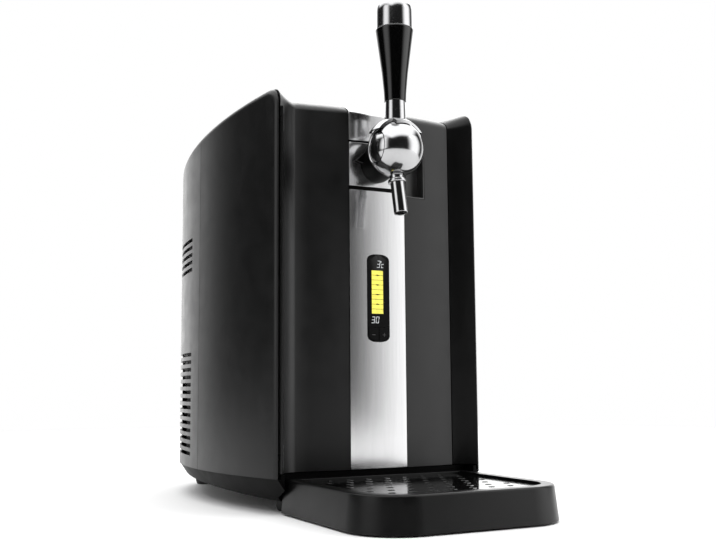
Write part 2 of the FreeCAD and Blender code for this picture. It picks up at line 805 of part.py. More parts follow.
def cooling():
    """Cold block, thermoelectric module, finned heat sink and its fan."""
    keep("cold_block", box("ColdBlock", (-21.8, 21.8), (at(187.2), at(204.6)), (160.2, 203.8)))
    keep("cooling_module", box("CoolingModule", (-20, 20), (at(204.6), at(208.4)), (162, 202)))
    body = new_body("HeatSink")
    drawing = sketch(body, "XY_Plane", 127)
    outline(drawing, [(-44, at(208.4)), (44, at(208.4)), (44, at(214.4)), (-44, at(214.4))])
    pad(body, drawing, 110)
    drawing = sketch(body, "XY_Plane", 127)
    outline(drawing, [(-44, at(214)), (-42.4, at(214)), (-42.4, at(244)), (-44, at(244))])
    fin = pad(body, drawing, 110)
    doc.recompute()
    repeat_line(body, fin, drawing, "H_Axis", 86.4, 16)
    keep("heat_sink", body)
    fan()


def fan():
    height = cell("fan_height", 182)
    hub_back = at(250)
    frame = box("FanBox", (-46, 46), (at(244.4), at(269.4)), (height - 46, height + 46))
    tunnel = rod("FanTunnel", "y", (0, at(240), height), 43, 40)
    ring = cut("FanRing", frame, tunnel)
    struts = [rod("FanHub", "y", (0, at(265.4), height), 17, 4)]
    for n in range(2):
        span = (-44, 44) if n == 0 else (-3, 3)
        rise = (height - 3, height + 3) if n == 0 else (height - 44, height + 44)
        struts.append(box("FanStrut%d" % n, span, (at(266), at(269)), rise))
    shaft = rod("FanShaft", "y", (0, at(249), height), 2, 17)
    keep("fan_frame", fuse("FanFrame", ring, shaft, *struts))
    body = new_body("FanRotor")
    drawing = sketch(body, "XZ_Plane")
    circle(drawing, 0, 0, 16)
    circle(drawing, 0, 0, 2.06)
    pad(body, drawing, 15.5)
    drawing = sketch(body, "XZ_Plane", 4)
    outline(drawing, [(15, -7), (40.5, -11), (40.5, 9), (15, 6)])
    blade = pad(body, drawing, 1.8)
    doc.recompute()
    repeat_round(body, blade, drawing, 7)
    bind(body, "Placement.Base.y", hub_back + 14.9)
    bind(body, "Placement.Base.z", height)
    keep("fan_rotor", body)


def rear_equipment():
    """Power supply, mains inlet, air pump with its hose stub, control board."""
    span = tuple(at(depth) for depth in SUPPLY_DEPTHS)
    keep("power_supply", box("PowerSupply", SUPPLY_SPAN, span, (PLINTH_TOP, 82)))
    flange = box("InletFlange", (-35, -5), (at(330), at(332.4)), (45, 71))
    block = box("InletBlock", (-30.6, -9.4), (at(308), at(334.4)), (49.4, 66.6))
    well = box("InletWell", (-28, -12), (at(316), at(340)), (52, 64))
    keep("mains_inlet", cut("MainsInlet", fuse("InletWhole", flange, block), well))
    motor = rod("PumpMotor", "x", (-40, at(240), 268), 15, 46)
    head = box("PumpHead", (6, 40), (at(224), at(256)), (252, 284))
    nozzle = rod("PumpNozzle", "z", (23, at(240), 284), 3, 12)
    keep("air_pump", fuse("AirPump", motor, head, nozzle))
    plate = box("BulkheadPlate", (-80, 80), (at(204.2), at(206.2)), (22.9, 300))
    shelf = box("PumpShelf", (-44, 44), (at(205), at(262)), (250, 251.8))
    gap = box("ModuleGap", (-23, 23), (at(200), at(208)), (159, 205))
    keep("rear_bulkhead", cut("RearBulkhead", fuse("BulkheadWhole", plate, shelf), gap))
    board = box("ControlPlate", (-55, 35), (at(48), at(112)), (341.4, 343))
    chips = [box("Chip%d" % n, (x, x + 14), (at(72), at(88)), (338, 341.4)) for n, x in
             enumerate((-45, -20, 6))]
    keep("control_board", fuse("ControlBoard", board, *chips))


def keg_cradle():
    """Ribbed mat that the keg stands on, and the gas coupler above it."""
    body = new_body("KegMat")
    drawing = sketch(body, "XY_Plane", keg_floor)
    circle(drawing, 0, at(liner_centre), 70)
    pad(body, drawing, 3)
    drawing = sketch(body, "XY_Plane", keg_floor + 3)
    circle(drawing, 0, at(liner_centre), 60)
    circle(drawing, 0, at(liner_centre), 56)
    pad(body, drawing, 2)
    keep("keg_mat", body)
    body = new_body("GasCoupler")
    drawing = sketch(body, "YZ_Plane")
    middle = at(liner_centre)
    outline(drawing, [(middle, 312), (middle + 9, 312), (middle + 9, 318), (middle + 14, 318),
                      (middle + 14, keg_roof - 0.2), (middle, keg_roof - 0.2)])
    revolve_about(body, drawing, middle)
    keep("gas_coupler", body)


def revolve_about(body, drawing, middle):
    """Turns a YZ outline about the upright line at the given Y."""
    place_ = size(middle).value
    edge = [n for n, g in enumerate(drawing.Geometry)
            if abs(g.StartPoint.x - place_) < 0.001 and abs(g.EndPoint.x - place_) < 0.001]
    feature = body.newObject("PartDesign::Revolution", body.Name + "Turned")
    feature.Profile = drawing
    feature.ReferenceAxis = (drawing, ["Edge%d" % (edge[0] + 1)])
    feature.Angle = 360
    return feature


# ---------------------------------------------------------------- the tap
def tap():
    centre = (0, at(ball_depth), ball_height)
    socket = cone("CollarCone", "y", (0, at(-28), ball_height), 18, 13.5, 22.4)
    skirt = cone("CollarLobe", "y", (0, at(-26), ball_height - 7.5), 14, 16, 20.4)
    height = ball_height.value
    corners = [V(-22.4, 0, height - 5.4), V(-13, 0, height + 3.6), V(-12, 0, height - 8)]
    fin = Part.Face(Part.makePolygon(corners + corners[:1]))
    fin.translate(V(0, at(-9.6).value, 0))
    fin = solid_feature("CollarFin", fin.extrude(V(0, 3, 0)))
    seat = ball("CollarSeat", centre, ball_radius + 0.1)
    bore = rod("CollarBore", "y", (0, at(-40), ball_height), 8.1, 60)
    keep("tap_collar", cut("TapCollar", fuse("CollarWhole", socket, skirt, fin), seat, bore))
    tube = rod("ShankTube", "y", (0, at(-30), ball_height), 8, 54)
    nut = rod("ShankNut", "y", (0, at(14.4), ball_height), 12.3, 5)
    drill = rod("ShankDrill", "y", (0, at(-26), ball_height), 3, 80)
    shank = cut("TapShankCut", fuse("TapShankWhole", tube, nut), drill)
    keep("tap_shank", shank)
    span = pivot_reach
    whole = ball("BallWhole", centre, ball_radius)
    band = box("BallBand", (-span, span), (centre[1] - 30, centre[1] + 30),
               (ball_height - 30, ball_height + 30))
    core = common("BallCore", whole, band)
    hole = rod("BallHole", "y", (0, at(-30), ball_height), 8, 40)
    wide = stem_half + 0.4
    slot = lever_slot("BallSlot", centre, wide)
    hollow = rod("BallHollow", "x", (-wide, centre[1], ball_height), eye_radius + 0.5, wide * 2)
    axle = rod("BallAxle", "x", (-stem_half - 1, centre[1], ball_height), axle_radius,
               2 * stem_half + 2)
    keep("tap_ball", fuse("TapBall", cut("BallOpened", core, hole, slot, hollow), axle))
    pivot_caps(centre)
    spout()
    lever(centre)


def lever_slot(name, centre, half):
    """The room that the lever's stem sweeps, from upright to pulled forward."""
    swing = math.radians(lever_swing.value)
    side = stem_depth.value / 2 + 0.4
    reach = 34
    ahead = V(0, -math.sin(swing), math.cos(swing))
    down = V(0, -math.cos(swing), -math.sin(swing))
    start = V(-half.value, centre[1].value, ball_height.value)
    corners = [V(0, side, 0), V(0, side, reach), ahead * reach + down * side, down * side]
    points = [start + corner for corner in corners]
    plan = Part.Face(Part.makePolygon(points + points[:1]))
    return solid_feature(name, plan.extrude(V(2 * half.value, 0, 0)))


def pivot_caps(centre):
    """Domed caps that close both sides of the ball, at the ends of the lever's pivot."""
    caps = []
    low = pivot_reach + 0.15
    for side, span in (("Left", (-30 - low, -low)), ("Right", (low, low + 30))):
        dome = ball("Dome" + side, centre, ball_radius)
        end = box("DomeEnd" + side, span, (centre[1] - 30, centre[1] + 30),
                  (ball_height - 30, ball_height + 30))
        caps.append(common("PivotCap" + side, dome, end))
    keep("pivot_caps", group("PivotCaps", *caps))


def leaning_rod(name, low, radius, length, tip):
    """A round bar along the spout's axis, from a distance up from its tip."""
    angle = spout_lean.value
    thing = doc.addObject("Part::Cylinder", name)
    bind(thing, "Radius", radius)
    bind(thing, "Height", length)
    turn = FreeCAD.Rotation(V(1, 0, 0), -angle)
    rise = math.cos(math.radians(angle))
    run = math.sin(math.radians(angle))
    return place(thing, tip[0], tip[1] + low * run, tip[2] + low * rise, turn)


def spout():
    tip = (0, at(ball_depth - 7.5), size(256))
    tube = leaning_rod("SpoutTube", 0, spout_radius, 42, tip)
    bore = leaning_rod("SpoutBore", -2, spout_radius - 1.3, 50, tip)
    clear = ball("SpoutSeat", (0, at(ball_depth), ball_height), ball_radius)
    keep("spout", cut("Spout", tube, bore, clear))
    ring = leaning_rod("RingOuter", 28, spout_radius + 1.9, 3, tip)
    hole = leaning_rod("RingHole", 20, spout_radius, 20, tip)
    clear = ball("RingSeat", (0, at(ball_depth), ball_height), ball_radius)
    keep("spout_ring", cut("SpoutRing", ring, hole, clear))


def lever(centre):
    """Crown that saddles the ball, its neck, the grip and the end cap."""
    shell = ball("CrownOuter", centre, ball_radius + 3)
    hollow = ball("CrownInner", centre, ball_radius + 0.45)
    rim = ball_height + 17.5
    cap = fuse("CrownCap",
               box("CrownTop", (-30, 30), (centre[1] - 9, centre[1] + 30), (rim, rim + 20)),
               box("CrownCheeks", (-30, 30), (centre[1] - 9, centre[1] + 11), (rim - 4, rim + 20)),
               box("CrownTongue", (-7, 7), (centre[1] - 14.4, centre[1]), (rim - 1, rim + 20)))
    neck = rod("LeverNeck", "z", (0, centre[1], ball_height + 23.5), neck_radius, 21)
    saddle = cut("CrownSaddle", fuse("CrownWhole", common("CrownBand", shell, cap), neck), hollow)
    slim = stem_depth / 2
    stem = box("LeverStem", (-stem_half, stem_half), (centre[1] - slim, centre[1] + slim),
               (ball_height, ball_height + 25))
    eye = rod("LeverEye", "x", (-stem_half, centre[1], ball_height), eye_radius, 2 * stem_half)
    bore = rod("LeverBore", "x", (-stem_half - 1, centre[1], ball_height), axle_radius + running_gap,
               2 * stem_half + 2)
    keep("lever_crown", cut("LeverCrown", fuse("LeverCore", saddle, stem, eye), bore))
    body = new_body("Grip")
    drawing = sketch(body, "XZ_Plane")
    bottom = ball_height + 44.5
    outline(drawing, [(0, bottom), (9.3, bottom), (9.6, bottom + 8), (11.2, bottom + 24),
                      (14, bottom + 44), (16.2, grip_head - 1), (15.4, grip_head), (0, grip_head)])
    revolve(body, drawing)
    bind(body, "Placement.Base.y", centre[1])
    keep("grip", body)
    body = new_body("EndCap")
    drawing = sketch(body, "XZ_Plane")
    outline(drawing, [(0, grip_head), (15.6, grip_head), (15.8, grip_head + 4), (14.6, top_height - 12),
                      (12.6, top_height - 5), (9, top_height - 1.4), (4, top_height - 0.2),
                      (0, top_height)])
    revolve(body, drawing)
    bind(body, "Placement.Base.y", centre[1])
    keep("end_cap", body)


# ---------------------------------------------------------------- the drip tray
def tray_plan(inset, z):
    """Plan of the tray: straight sides and back, large front corners."""
    half = tray_half.value - inset
    front = at(tray_front).value + inset
    back = at(-1.2).value - max(inset, 0)
    radius = tray_corner.value - inset
    turn = radius * (1 - math.sqrt(0.5))
    lines = [(V(-half, back, z), V(-half, front + radius, z)),
             (V(-half + radius, front, z), V(half - radius, front, z)),
             (V(half, front + radius, z), V(half, back, z)),
             (V(half, back, z), V(-half, back, z))]
    left = Part.Arc(lines[0][1], V(-half + turn, front + turn, z), lines[1][0])
    right = Part.Arc(lines[1][1], V(half - turn, front + turn, z), lines[2][0])
    edges = [Part.makeLine(*lines[0]), left.toShape(), Part.makeLine(*lines[1]), right.toShape(),
             Part.makeLine(*lines[2]), Part.makeLine(*lines[3])]
    return Part.Wire(edges)


def tray():
    """Drip tray: a bowl in a draughted skirt, hollow underneath."""
    rim = tray_rim.value
    foot = tray_foot.value
    flare = tray_flare.value
    wall = tray_wall.value
    body = Part.makeLoft([tray_plan(-flare, foot), tray_plan(0, rim)], True, True)
    lip = [e for e in body.Edges if e.BoundBox.ZMin > rim - 0.1 and e.BoundBox.YMin < at(-20).value]
    body = body.makeFillet(2.2, lip)
    seat = Part.makeLoft([tray_plan(5, rim - 4.4), tray_plan(4.6, rim + 1)], True, True)
    bowl = Part.makeLoft([tray_plan(10, 14.6), tray_plan(8, rim - 4)], True, True)
    under = Part.makeLoft([tray_plan(wall, foot - 1), tray_plan(wall + 1, 12.6)], True, True)
    body = body.cut(seat).cut(bowl)
    body = body.cut(under)
    slots = slab((-64, -40), (at(-20).value, at(2).value), (0, 12.6))
    body = body.cut(slots)
    body = body.cut(slab((40, 64), (at(-20).value, at(2).value), (0, 12.6)))
    keep("drip_tray", solid_feature("DripTray", body))


def grid():
    """Polished plate with a staggered field of drain holes."""
    low = tray_rim.value - 4.3
    high = tray_rim.value - 2.2
    plate = Part.makeLoft([tray_plan(5.5, low), tray_plan(5.3, high)], True, True)
    pitch = 19
    holes = []
    for row in range(8):
        depth = -146 + row * pitch
        shift = 0 if row % 2 else pitch / 2
        for column in range(-4, 5):
            x = column * pitch + shift
            if abs(x) < 74 and not (row == 0 and abs(x) > 52):
                holes.append(Part.makeCylinder(2.1, 10, V(x, at(depth).value, low - 3)))
    plate = plate.cut(Part.makeCompound(holes))
    keep("drip_grid", solid_feature("DripGrid", plate))


# ---------------------------------------------------------------- catch and screws
def catch():
    """Magnet in the door's free edge and its striker on the frame."""
    magnet = box("DoorMagnet", (81.2, 91), (at(5), at(door_back) + 0.2), (180, 204))
    keep("door_magnet", magnet)
    depth = (at(door_back) + 0.8, at(frame_depth))
    keep("striker_plate", box("StrikerPlate", (84, 94), depth, (178, 206)))


def screws():
    """Screws that hold the pan to the casing from below."""
    items = []
    for n, (x, depth) in enumerate(SCREW_PLACES):
        seat = pan_height(depth) + 2.5
        head = rod("ScrewHead%d" % n, "z", (x, at(depth), seat - 2), 3.4, 2)
        shank = rod("ScrewShank%d" % n, "z", (x, at(depth), seat), 2, 29 - seat)
        items.append(fuse("PanScrew%d" % n, head, shank))
    keep("pan_screws", group("PanScrews", *items))


# ---------------------------------------------------------------- build and write
def check():
    doc.recompute()
    bad = [t.Name for t in doc.Objects if "Invalid" in t.State or "Error" in t.State]
    for node, thing in parts.items():
        if thing.Shape.isNull() or not thing.Shape.isValid() or not thing.Shape.Solids:
            bad.append(node)
    if bad:
        raise SystemExit("failed: " + ", ".join(bad))


def write():
    os.makedirs("parts", exist_ok=True)
    for node, thing in parts.items():
        thing.Shape.exportStep("parts/" + node + ".step")
        print(node, len(thing.Shape.Solids), round(thing.Shape.Volume))


doc.recompute()
for make in (casing, base, feet, door_pieces, strip_pieces, display_pieces, door_back_pieces,
             finger_cup, hinge_arms, front_frame, chamber, insulation, cooling, rear_equipment,
             keg_cradle, tap, tray, grid, catch, screws):
    make()
check()
write()
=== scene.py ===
import json
import math

import bmesh
import bpy
import numpy as np
from mathutils import Matrix, Vector
from mathutils.geometry import delaunay_2d_cdt

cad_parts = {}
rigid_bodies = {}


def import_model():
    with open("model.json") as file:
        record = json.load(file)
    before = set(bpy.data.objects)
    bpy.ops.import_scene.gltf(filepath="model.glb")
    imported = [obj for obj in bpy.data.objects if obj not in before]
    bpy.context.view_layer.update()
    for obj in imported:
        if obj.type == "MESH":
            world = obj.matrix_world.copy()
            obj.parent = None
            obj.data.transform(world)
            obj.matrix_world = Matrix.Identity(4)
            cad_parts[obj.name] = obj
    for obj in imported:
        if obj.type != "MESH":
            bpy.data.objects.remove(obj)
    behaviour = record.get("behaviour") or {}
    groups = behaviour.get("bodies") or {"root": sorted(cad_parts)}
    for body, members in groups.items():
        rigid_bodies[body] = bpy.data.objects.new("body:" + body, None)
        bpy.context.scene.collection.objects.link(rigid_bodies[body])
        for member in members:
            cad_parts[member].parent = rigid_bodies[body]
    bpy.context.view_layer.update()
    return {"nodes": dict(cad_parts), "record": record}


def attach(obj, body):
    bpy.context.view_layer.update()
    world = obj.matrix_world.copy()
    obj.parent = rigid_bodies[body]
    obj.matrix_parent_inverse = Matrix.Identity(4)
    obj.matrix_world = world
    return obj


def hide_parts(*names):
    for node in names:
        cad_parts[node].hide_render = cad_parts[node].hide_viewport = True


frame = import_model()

nodes = frame["nodes"]
bodyOf = {node: carried.parent.name.split(":")[-1] for node, carried in nodes.items()}
slotOf = {part["node"]: part["material_slot"] for part in frame["record"]["subparts"]}
scene = bpy.context.scene
mm = 0.001
frontLine = -86.0      # row Y, in mm, of the front panel's side edges, where depth is 0
print("frame loaded:", len(nodes), "solids")


# row Y, in metres, of a depth in mm behind the front panel's side edges
def at(depth):
    return (frontLine + depth) * mm


cameraSet = {
    "place": (-0.4056, -0.8478, 0.1047),
    "yaw": -27.0, "pitch": 6.4, "roll": -0.4,      # degrees
    "lens": 48.70, "sensor": 36.0, "shiftY": 0.0124,
    "near": 0.01, "far": 50.0,
}


# looks along (-sin yaw cos pitch, cos yaw cos pitch, sin pitch), then rolls about that line
def makeCamera(values):
    yaw, pitch, roll = (math.radians(values[key]) for key in ("yaw", "pitch", "roll"))
    forward = np.array([-math.sin(yaw) * math.cos(pitch), math.cos(yaw) * math.cos(pitch), math.sin(pitch)])
    level = np.array([math.cos(yaw), math.sin(yaw), 0.0])
    upright = np.cross(level, forward)
    right = math.cos(roll) * level + math.sin(roll) * upright
    up = -math.sin(roll) * level + math.cos(roll) * upright
    data = bpy.data.cameras.new("standCamera")
    data.lens = values["lens"]
    data.sensor_width = values["sensor"]
    data.shift_y = values["shiftY"]
    data.clip_start, data.clip_end = values["near"], values["far"]
    camera = bpy.data.objects.new("standCamera", data)
    turn = np.identity(4)
    turn[:3, 0], turn[:3, 1], turn[:3, 2], turn[:3, 3] = right, up, -forward, values["place"]
    camera.matrix_world = Matrix(turn.tolist())
    scene.collection.objects.link(camera)
    scene.camera = camera


makeCamera(cameraSet)
print("camera set")


surfaceSet = {
    "cloud": 18.0, "smear": 60.0, "brush": 40.0, "speck": 120.0,      # noise cells in a metre
    "grainDepth": 0.0002, "brushDepth": 0.00005,                      # metres
    "coatRough": 0.05, "litRough": 0.35, "litDim": 0.85,
}


def nodeMaterial(name):
    made = bpy.data.materials.new(name)
    made.use_nodes = True
    tree = made.node_tree
    return made, tree, tree.nodes["Principled BSDF"]


def add(tree, kind, **sockets):
    node = tree.nodes.new(kind)
    for key, value in sockets.items():
        node.inputs[key].default_value = value
    return node


# noise on the piece's own coordinates, drawn out where the stretch is small
def noiseAt(tree, scale, detail=2.0, stretch=(1, 1, 1)):
    place = tree.nodes.new("ShaderNodeTexCoord")
    turn = add(tree, "ShaderNodeMapping", Scale=stretch)
    noise = add(tree, "ShaderNodeTexNoise", Scale=scale, Detail=detail)
    tree.links.new(place.outputs["Object"], turn.inputs["Vector"])
    tree.links.new(turn.outputs["Vector"], noise.inputs["Vector"])
    return noise.outputs["Fac"]


# a straight line through (fromLow, low) and (fromHigh, high), level outside them
def spreadOf(tree, value, low, high, fromLow=0.3, fromHigh=0.7):
    span = tree.nodes.new("ShaderNodeMapRange")
    ends = {"From Min": fromLow, "From Max": fromHigh, "To Min": low, "To Max": high}
    for key, end in ends.items():
        span.inputs[key].default_value = end
    tree.links.new(value, span.inputs["Value"])
    return span.outputs["Result"]


def mixColour(tree, share, dark, light):
    mixed = tree.nodes.new("ShaderNodeMix")
    mixed.data_type = "RGBA"
    factor, first, second = (mixed.inputs[n] for n in (0, 6, 7))      # the node's colour sockets
    first.default_value, second.default_value = (*dark, 1), (*light, 1)
    tree.links.new(share, factor)
    return mixed.outputs[2]


def bumpOf(tree, shader, height, strength, depth):
    bump = add(tree, "ShaderNodeBump", Strength=strength, Distance=depth)
    tree.links.new(height, bump.inputs["Height"])
    tree.links.new(bump.outputs["Normal"], shader.inputs["Normal"])


# two near tones in soft clouds, a smeared shine between the two ends of rough, and a fine raised grain
def mouldedPlastic(name, dark, light, rough=(0.38, 0.48), grain=1600.0, relief=0.12, coat=0.0, gleam=0.5):
    made, tree, shader = nodeMaterial(name)
    cloud = noiseAt(tree, surfaceSet["cloud"], detail=3.0)
    tree.links.new(mixColour(tree, spreadOf(tree, cloud, 0, 1), dark, light), shader.inputs["Base Color"])
    smear = noiseAt(tree, surfaceSet["smear"], detail=4.0)
    tree.links.new(spreadOf(tree, smear, *rough), shader.inputs["Roughness"])
    bumpOf(tree, shader, noiseAt(tree, grain), relief, surfaceSet["grainDepth"])
    shader.inputs["Specular IOR Level"].default_value = gleam
    shader.inputs["Coat Weight"].default_value = coat
    shader.inputs["Coat Roughness"].default_value = surfaceSet["coatRough"]
    return made


# bare metal in two near tones: fine streaks set the tone and the relief, a wider brush sets the shine
def workedMetal(name, dark, light, rough=(0.08, 0.16), grain=900.0, stretch=(1, 1, 1), relief=0.05):
    made, tree, shader = nodeMaterial(name)
    shader.inputs["Metallic"].default_value = 1.0
    streak = noiseAt(tree, grain, stretch=stretch)
    tree.links.new(mixColour(tree, spreadOf(tree, streak, 0, 1), dark, light), shader.inputs["Base Color"])
    brush = noiseAt(tree, surfaceSet["brush"], detail=3.0, stretch=stretch)
    tree.links.new(spreadOf(tree, brush, *rough), shader.inputs["Roughness"])
    bumpOf(tree, shader, streak, relief, surfaceSet["brushDepth"])
    return made


# a colour that glows by itself, a little dimmer in specks
def litColour(name, colour, glow):
    made, tree, shader = nodeMaterial(name)
    dim = tuple(part * surfaceSet["litDim"] for part in colour)
    speck = noiseAt(tree, surfaceSet["speck"])
    tint = mixColour(tree, spreadOf(tree, speck, 0, 1), dim, colour)
    tree.links.new(tint, shader.inputs["Base Color"])
    tree.links.new(tint, shader.inputs["Emission Color"])
    shader.inputs["Emission Strength"].default_value = glow
    shader.inputs["Roughness"].default_value = surfaceSet["litRough"]
    return made


# the solids' own finishes first, then those of the dressing
finish = {
    "charcoal_plastic": mouldedPlastic("charcoalPlastic", (0.0026, 0.0026, 0.0027), (0.0032, 0.0032, 0.0033),
                                       rough=(0.31, 0.37), gleam=0.34),
    "black_plastic": mouldedPlastic("blackPlastic", (0.0016, 0.0016, 0.0016), (0.0022, 0.0022, 0.0022),
                                    rough=(0.28, 0.34), gleam=0.22),
    "gloss_black": mouldedPlastic("glossBlack", (0.0008, 0.0008, 0.0008), (0.0012, 0.0012, 0.0012),
                                  rough=(0.09, 0.13), relief=0.01, coat=0.1, gleam=0.35),
    "polished_grid": mouldedPlastic("polishedGrid", (0.0015, 0.0015, 0.0015), (0.002, 0.002, 0.002),
                                    rough=(0.10, 0.15), relief=0.01, coat=0.1, gleam=0.4),
    "strip_steel": workedMetal("stripSteel", (0.56, 0.56, 0.565), (0.60, 0.60, 0.605), rough=(0.13, 0.17),
                               stretch=(1, 1, 0.02), relief=0.02),
    "chrome": workedMetal("chrome", (0.40, 0.40, 0.405), (0.43, 0.43, 0.435), rough=(0.11, 0.15),
                          relief=0.004),
    "display_yellow": litColour("displayYellow", (0.80, 0.73, 0.10), 0.4),
    "liner_grey": mouldedPlastic("linerGrey", (0.42, 0.42, 0.42), (0.47, 0.47, 0.47)),
    "seal_rubber": mouldedPlastic("sealRubber", (0.012, 0.012, 0.012), (0.018, 0.018, 0.018),
                                  rough=(0.6, 0.75)),
    "foam": mouldedPlastic("foam", (0.030, 0.030, 0.031), (0.045, 0.045, 0.046), rough=(0.8, 0.95),
                           grain=500.0, relief=0.5),
    "bare_aluminium": workedMetal("bareAluminium", (0.70, 0.70, 0.71), (0.76, 0.76, 0.77), rough=(0.25, 0.4)),
    "steel": workedMetal("steel", (0.48, 0.48, 0.49), (0.56, 0.56, 0.57), rough=(0.22, 0.35)),
    "board_green": mouldedPlastic("boardGreen", (0.012, 0.090, 0.030), (0.016, 0.120, 0.040),
                                  rough=(0.3, 0.4)),
    "ceramic_white": mouldedPlastic("ceramicWhite", (0.80, 0.80, 0.78), (0.86, 0.86, 0.84), rough=(0.4, 0.5)),
    "figureWhite": litColour("figureWhite", (0.55, 0.57, 0.58), 0.35),
    "signGrey": mouldedPlastic("signGrey", (0.014, 0.014, 0.0145), (0.02, 0.02, 0.0205)),
    "panBlack": mouldedPlastic("panBlack", (0.0010, 0.0010, 0.0010), (0.0013, 0.0013, 0.0013),
                               rough=(0.4, 0.48), gleam=0.055),
    # painted light: the finger cup is a much lighter copy of the dark plastic, for the light that its walls
    # catch
    "cupGrey": mouldedPlastic("cupGrey", (0.02, 0.02, 0.02), (0.026, 0.026, 0.026), rough=(0.3, 0.36)),
    "windowBlack": mouldedPlastic("windowBlack", (0.0016, 0.0016, 0.0016), (0.0022, 0.0022, 0.0022),
                                  rough=(0.16, 0.2), relief=0.01, gleam=0.1),
}
print("finishes made:", len(finish))

# painted shade: the board behind the window takes the window's black instead of its own finish, so that none
# of it shows round the keys
for node, carried in nodes.items():
    carried.data.materials.clear()
    carried.data.materials.append(finish["windowBlack" if node == "display_board" else slotOf[node]])


meshSet = {
    "weld": 2e-6, "sliver": 1e-7,      # metres
    "flat": 0.05, "sharp": 32.0,       # degrees
}


# quads between neighbouring rows and columns of a grid, round again where a side is closed
def wovenFaces(rows, columns, closedRows=False, closedColumns=False):
    down = np.arange(rows if closedRows else rows - 1)[:, None]
    along = np.arange(columns if closedColumns else columns - 1)[None, :]
    nextDown, nextAlong = (down + 1) % rows, (along + 1) % columns
    corners = [down * columns + along, down * columns + nextAlong,
               nextDown * columns + nextAlong, nextDown * columns + along]
    return np.stack([corner.ravel() for corner in corners], -1)


# a mesh's points in metres, one row each
def pointsOf(mesh):
    points = np.empty(len(mesh.vertices) * 3)
    mesh.vertices.foreach_get("co", points)
    return points.reshape(-1, 3)


# a mesh from points in metres and faces, cleaned by a function, smooth up to an angle where one is given
def meshFrom(name, points, faces, clean, sharp=None):
    mesh = bpy.data.meshes.new(name)
    mesh.from_pydata(points, [], faces)
    work = bmesh.new()
    work.from_mesh(mesh)
    clean(work)
    work.to_mesh(mesh)
    work.free()
    if sharp:
        mesh.shade_smooth()
        mesh.set_sharp_from_angle(angle=math.radians(sharp))
    return mesh


# a mesh becomes a piece with its finish, riding on a body
def addPiece(name, mesh, look, body):
    mesh.materials.append(finish[look])
    piece = bpy.data.objects.new(name, mesh)
    scene.collection.objects.link(piece)
    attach(piece, body)
    return piece


# points that fall together are merged; the faces are turned outwards unless they already are
def pieceFrom(name, points, faces, look, body, sharp=meshSet["sharp"], recalculated=True):
    def clean(work):
        bmesh.ops.remove_doubles(work, verts=work.verts, dist=meshSet["weld"])
        bmesh.ops.dissolve_degenerate(work, edges=work.edges, dist=meshSet["sliver"])
        if recalculated:
            bmesh.ops.recalc_face_normals(work, faces=work.faces)

    places = np.asarray(points, float).reshape(-1, 3)
    mesh = meshFrom(name, places.tolist(), np.asarray(faces).tolist(), clean, sharp)
    return addPiece(name, mesh, look, body)


# edges that turn by more than the limit, in degrees, get a small radius, in mm
def roundEdges(piece, radius, segments=2, limit=meshSet["sharp"]):
    bevel = piece.modifiers.new("roundEdges", "BEVEL")
    bevel.width = radius * mm
    bevel.segments = segments
    bevel.limit_method = "ANGLE"
    bevel.angle_limit = math.radians(limit)
    bevel.harden_normals = True
    return piece


# a merged copy of a solid stands in its place, reshaped where a function is given, with its edges rounded
def softened(node, name, radius, look=None, segments=2, reshape=None):
    def clean(work):
        flat = math.radians(meshSet["flat"])
        bmesh.ops.remove_doubles(work, verts=work.verts, dist=meshSet["weld"])
        bmesh.ops.dissolve_limit(work, angle_limit=flat, verts=work.verts, edges=work.edges)

    source = nodes[node].data
    points = pointsOf(source)
    if reshape:
        points = reshape(points)
    source.calc_loop_triangles()
    corners = np.empty(len(source.loop_triangles) * 3, np.int32)
    source.loop_triangles.foreach_get("vertices", corners)
    mesh = meshFrom(name, points.tolist(), corners.reshape(-1, 3).tolist(), clean, meshSet["sharp"])
    piece = addPiece(name, mesh, look or slotOf[node], bodyOf[node])
    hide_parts(node)
    return roundEdges(piece, radius, segments)


# each inner corner of a polyline becomes an arc: (1-t)^2 a + 2t(1-t) corner + t^2 b
def eased(points, reach, steps=6):
    points = np.asarray(points, float)
    t = np.linspace(0, 1, steps)[:, None]
    path = [points[:1]]
    for before, corner, after in zip(points, points[1:], points[2:]):
        back, ahead = before - corner, after - corner
        near = corner + back * min(0.5, reach / np.linalg.norm(back))      # at most half of each side
        far = corner + ahead * min(0.5, reach / np.linalg.norm(ahead))
        path.append((1 - t) ** 2 * near + 2 * t * (1 - t) * corner + t ** 2 * far)
    path.append(points[-1:])
    return np.vstack(path)


# profile of radius and height, in mm, turned round an axis: centre + r (cos t side + sin t across) + h axis
def turnedShape(profile, centre, axis, steps=96):
    axis = np.asarray(axis, float) / np.linalg.norm(axis)
    side = np.cross(axis, (1.0, 0.0, 0.0) if abs(axis[0]) < 0.9 else (0.0, 1.0, 0.0))
    side /= np.linalg.norm(side)
    across = np.cross(axis, side)
    angle = np.linspace(0, 2 * np.pi, steps, endpoint=False)
    ring = np.cos(angle)[:, None] * side + np.sin(angle)[:, None] * across
    radius, height = np.asarray(profile, float).T * mm
    points = np.asarray(centre) + radius[:, None, None] * ring + height[:, None, None] * axis
    return points, wovenFaces(len(radius), steps, closedColumns=True)


def turnedPiece(name, profile, centre, axis, look, body, steps=96, sharp=40.0):
    points, faces = turnedShape(profile, centre, axis, steps)
    return pieceFrom(name, points, faces, look, body, sharp)


# superellipse ends on straight sides: x = half |cos t|^(2/p), z = rise sin(t)^(2/p)
def archedOutline(half, low, high, rise, power=2.5, steps=30):
    t = np.linspace(0, np.pi, steps)
    x = half * np.sign(np.cos(t)) * np.abs(np.cos(t)) ** (2 / power)
    z = rise * np.clip(np.sin(t), 0, 1) ** (2 / power)
    return np.vstack([np.stack([x, high - rise + z], -1), np.stack([-x, low + rise - z], -1)])


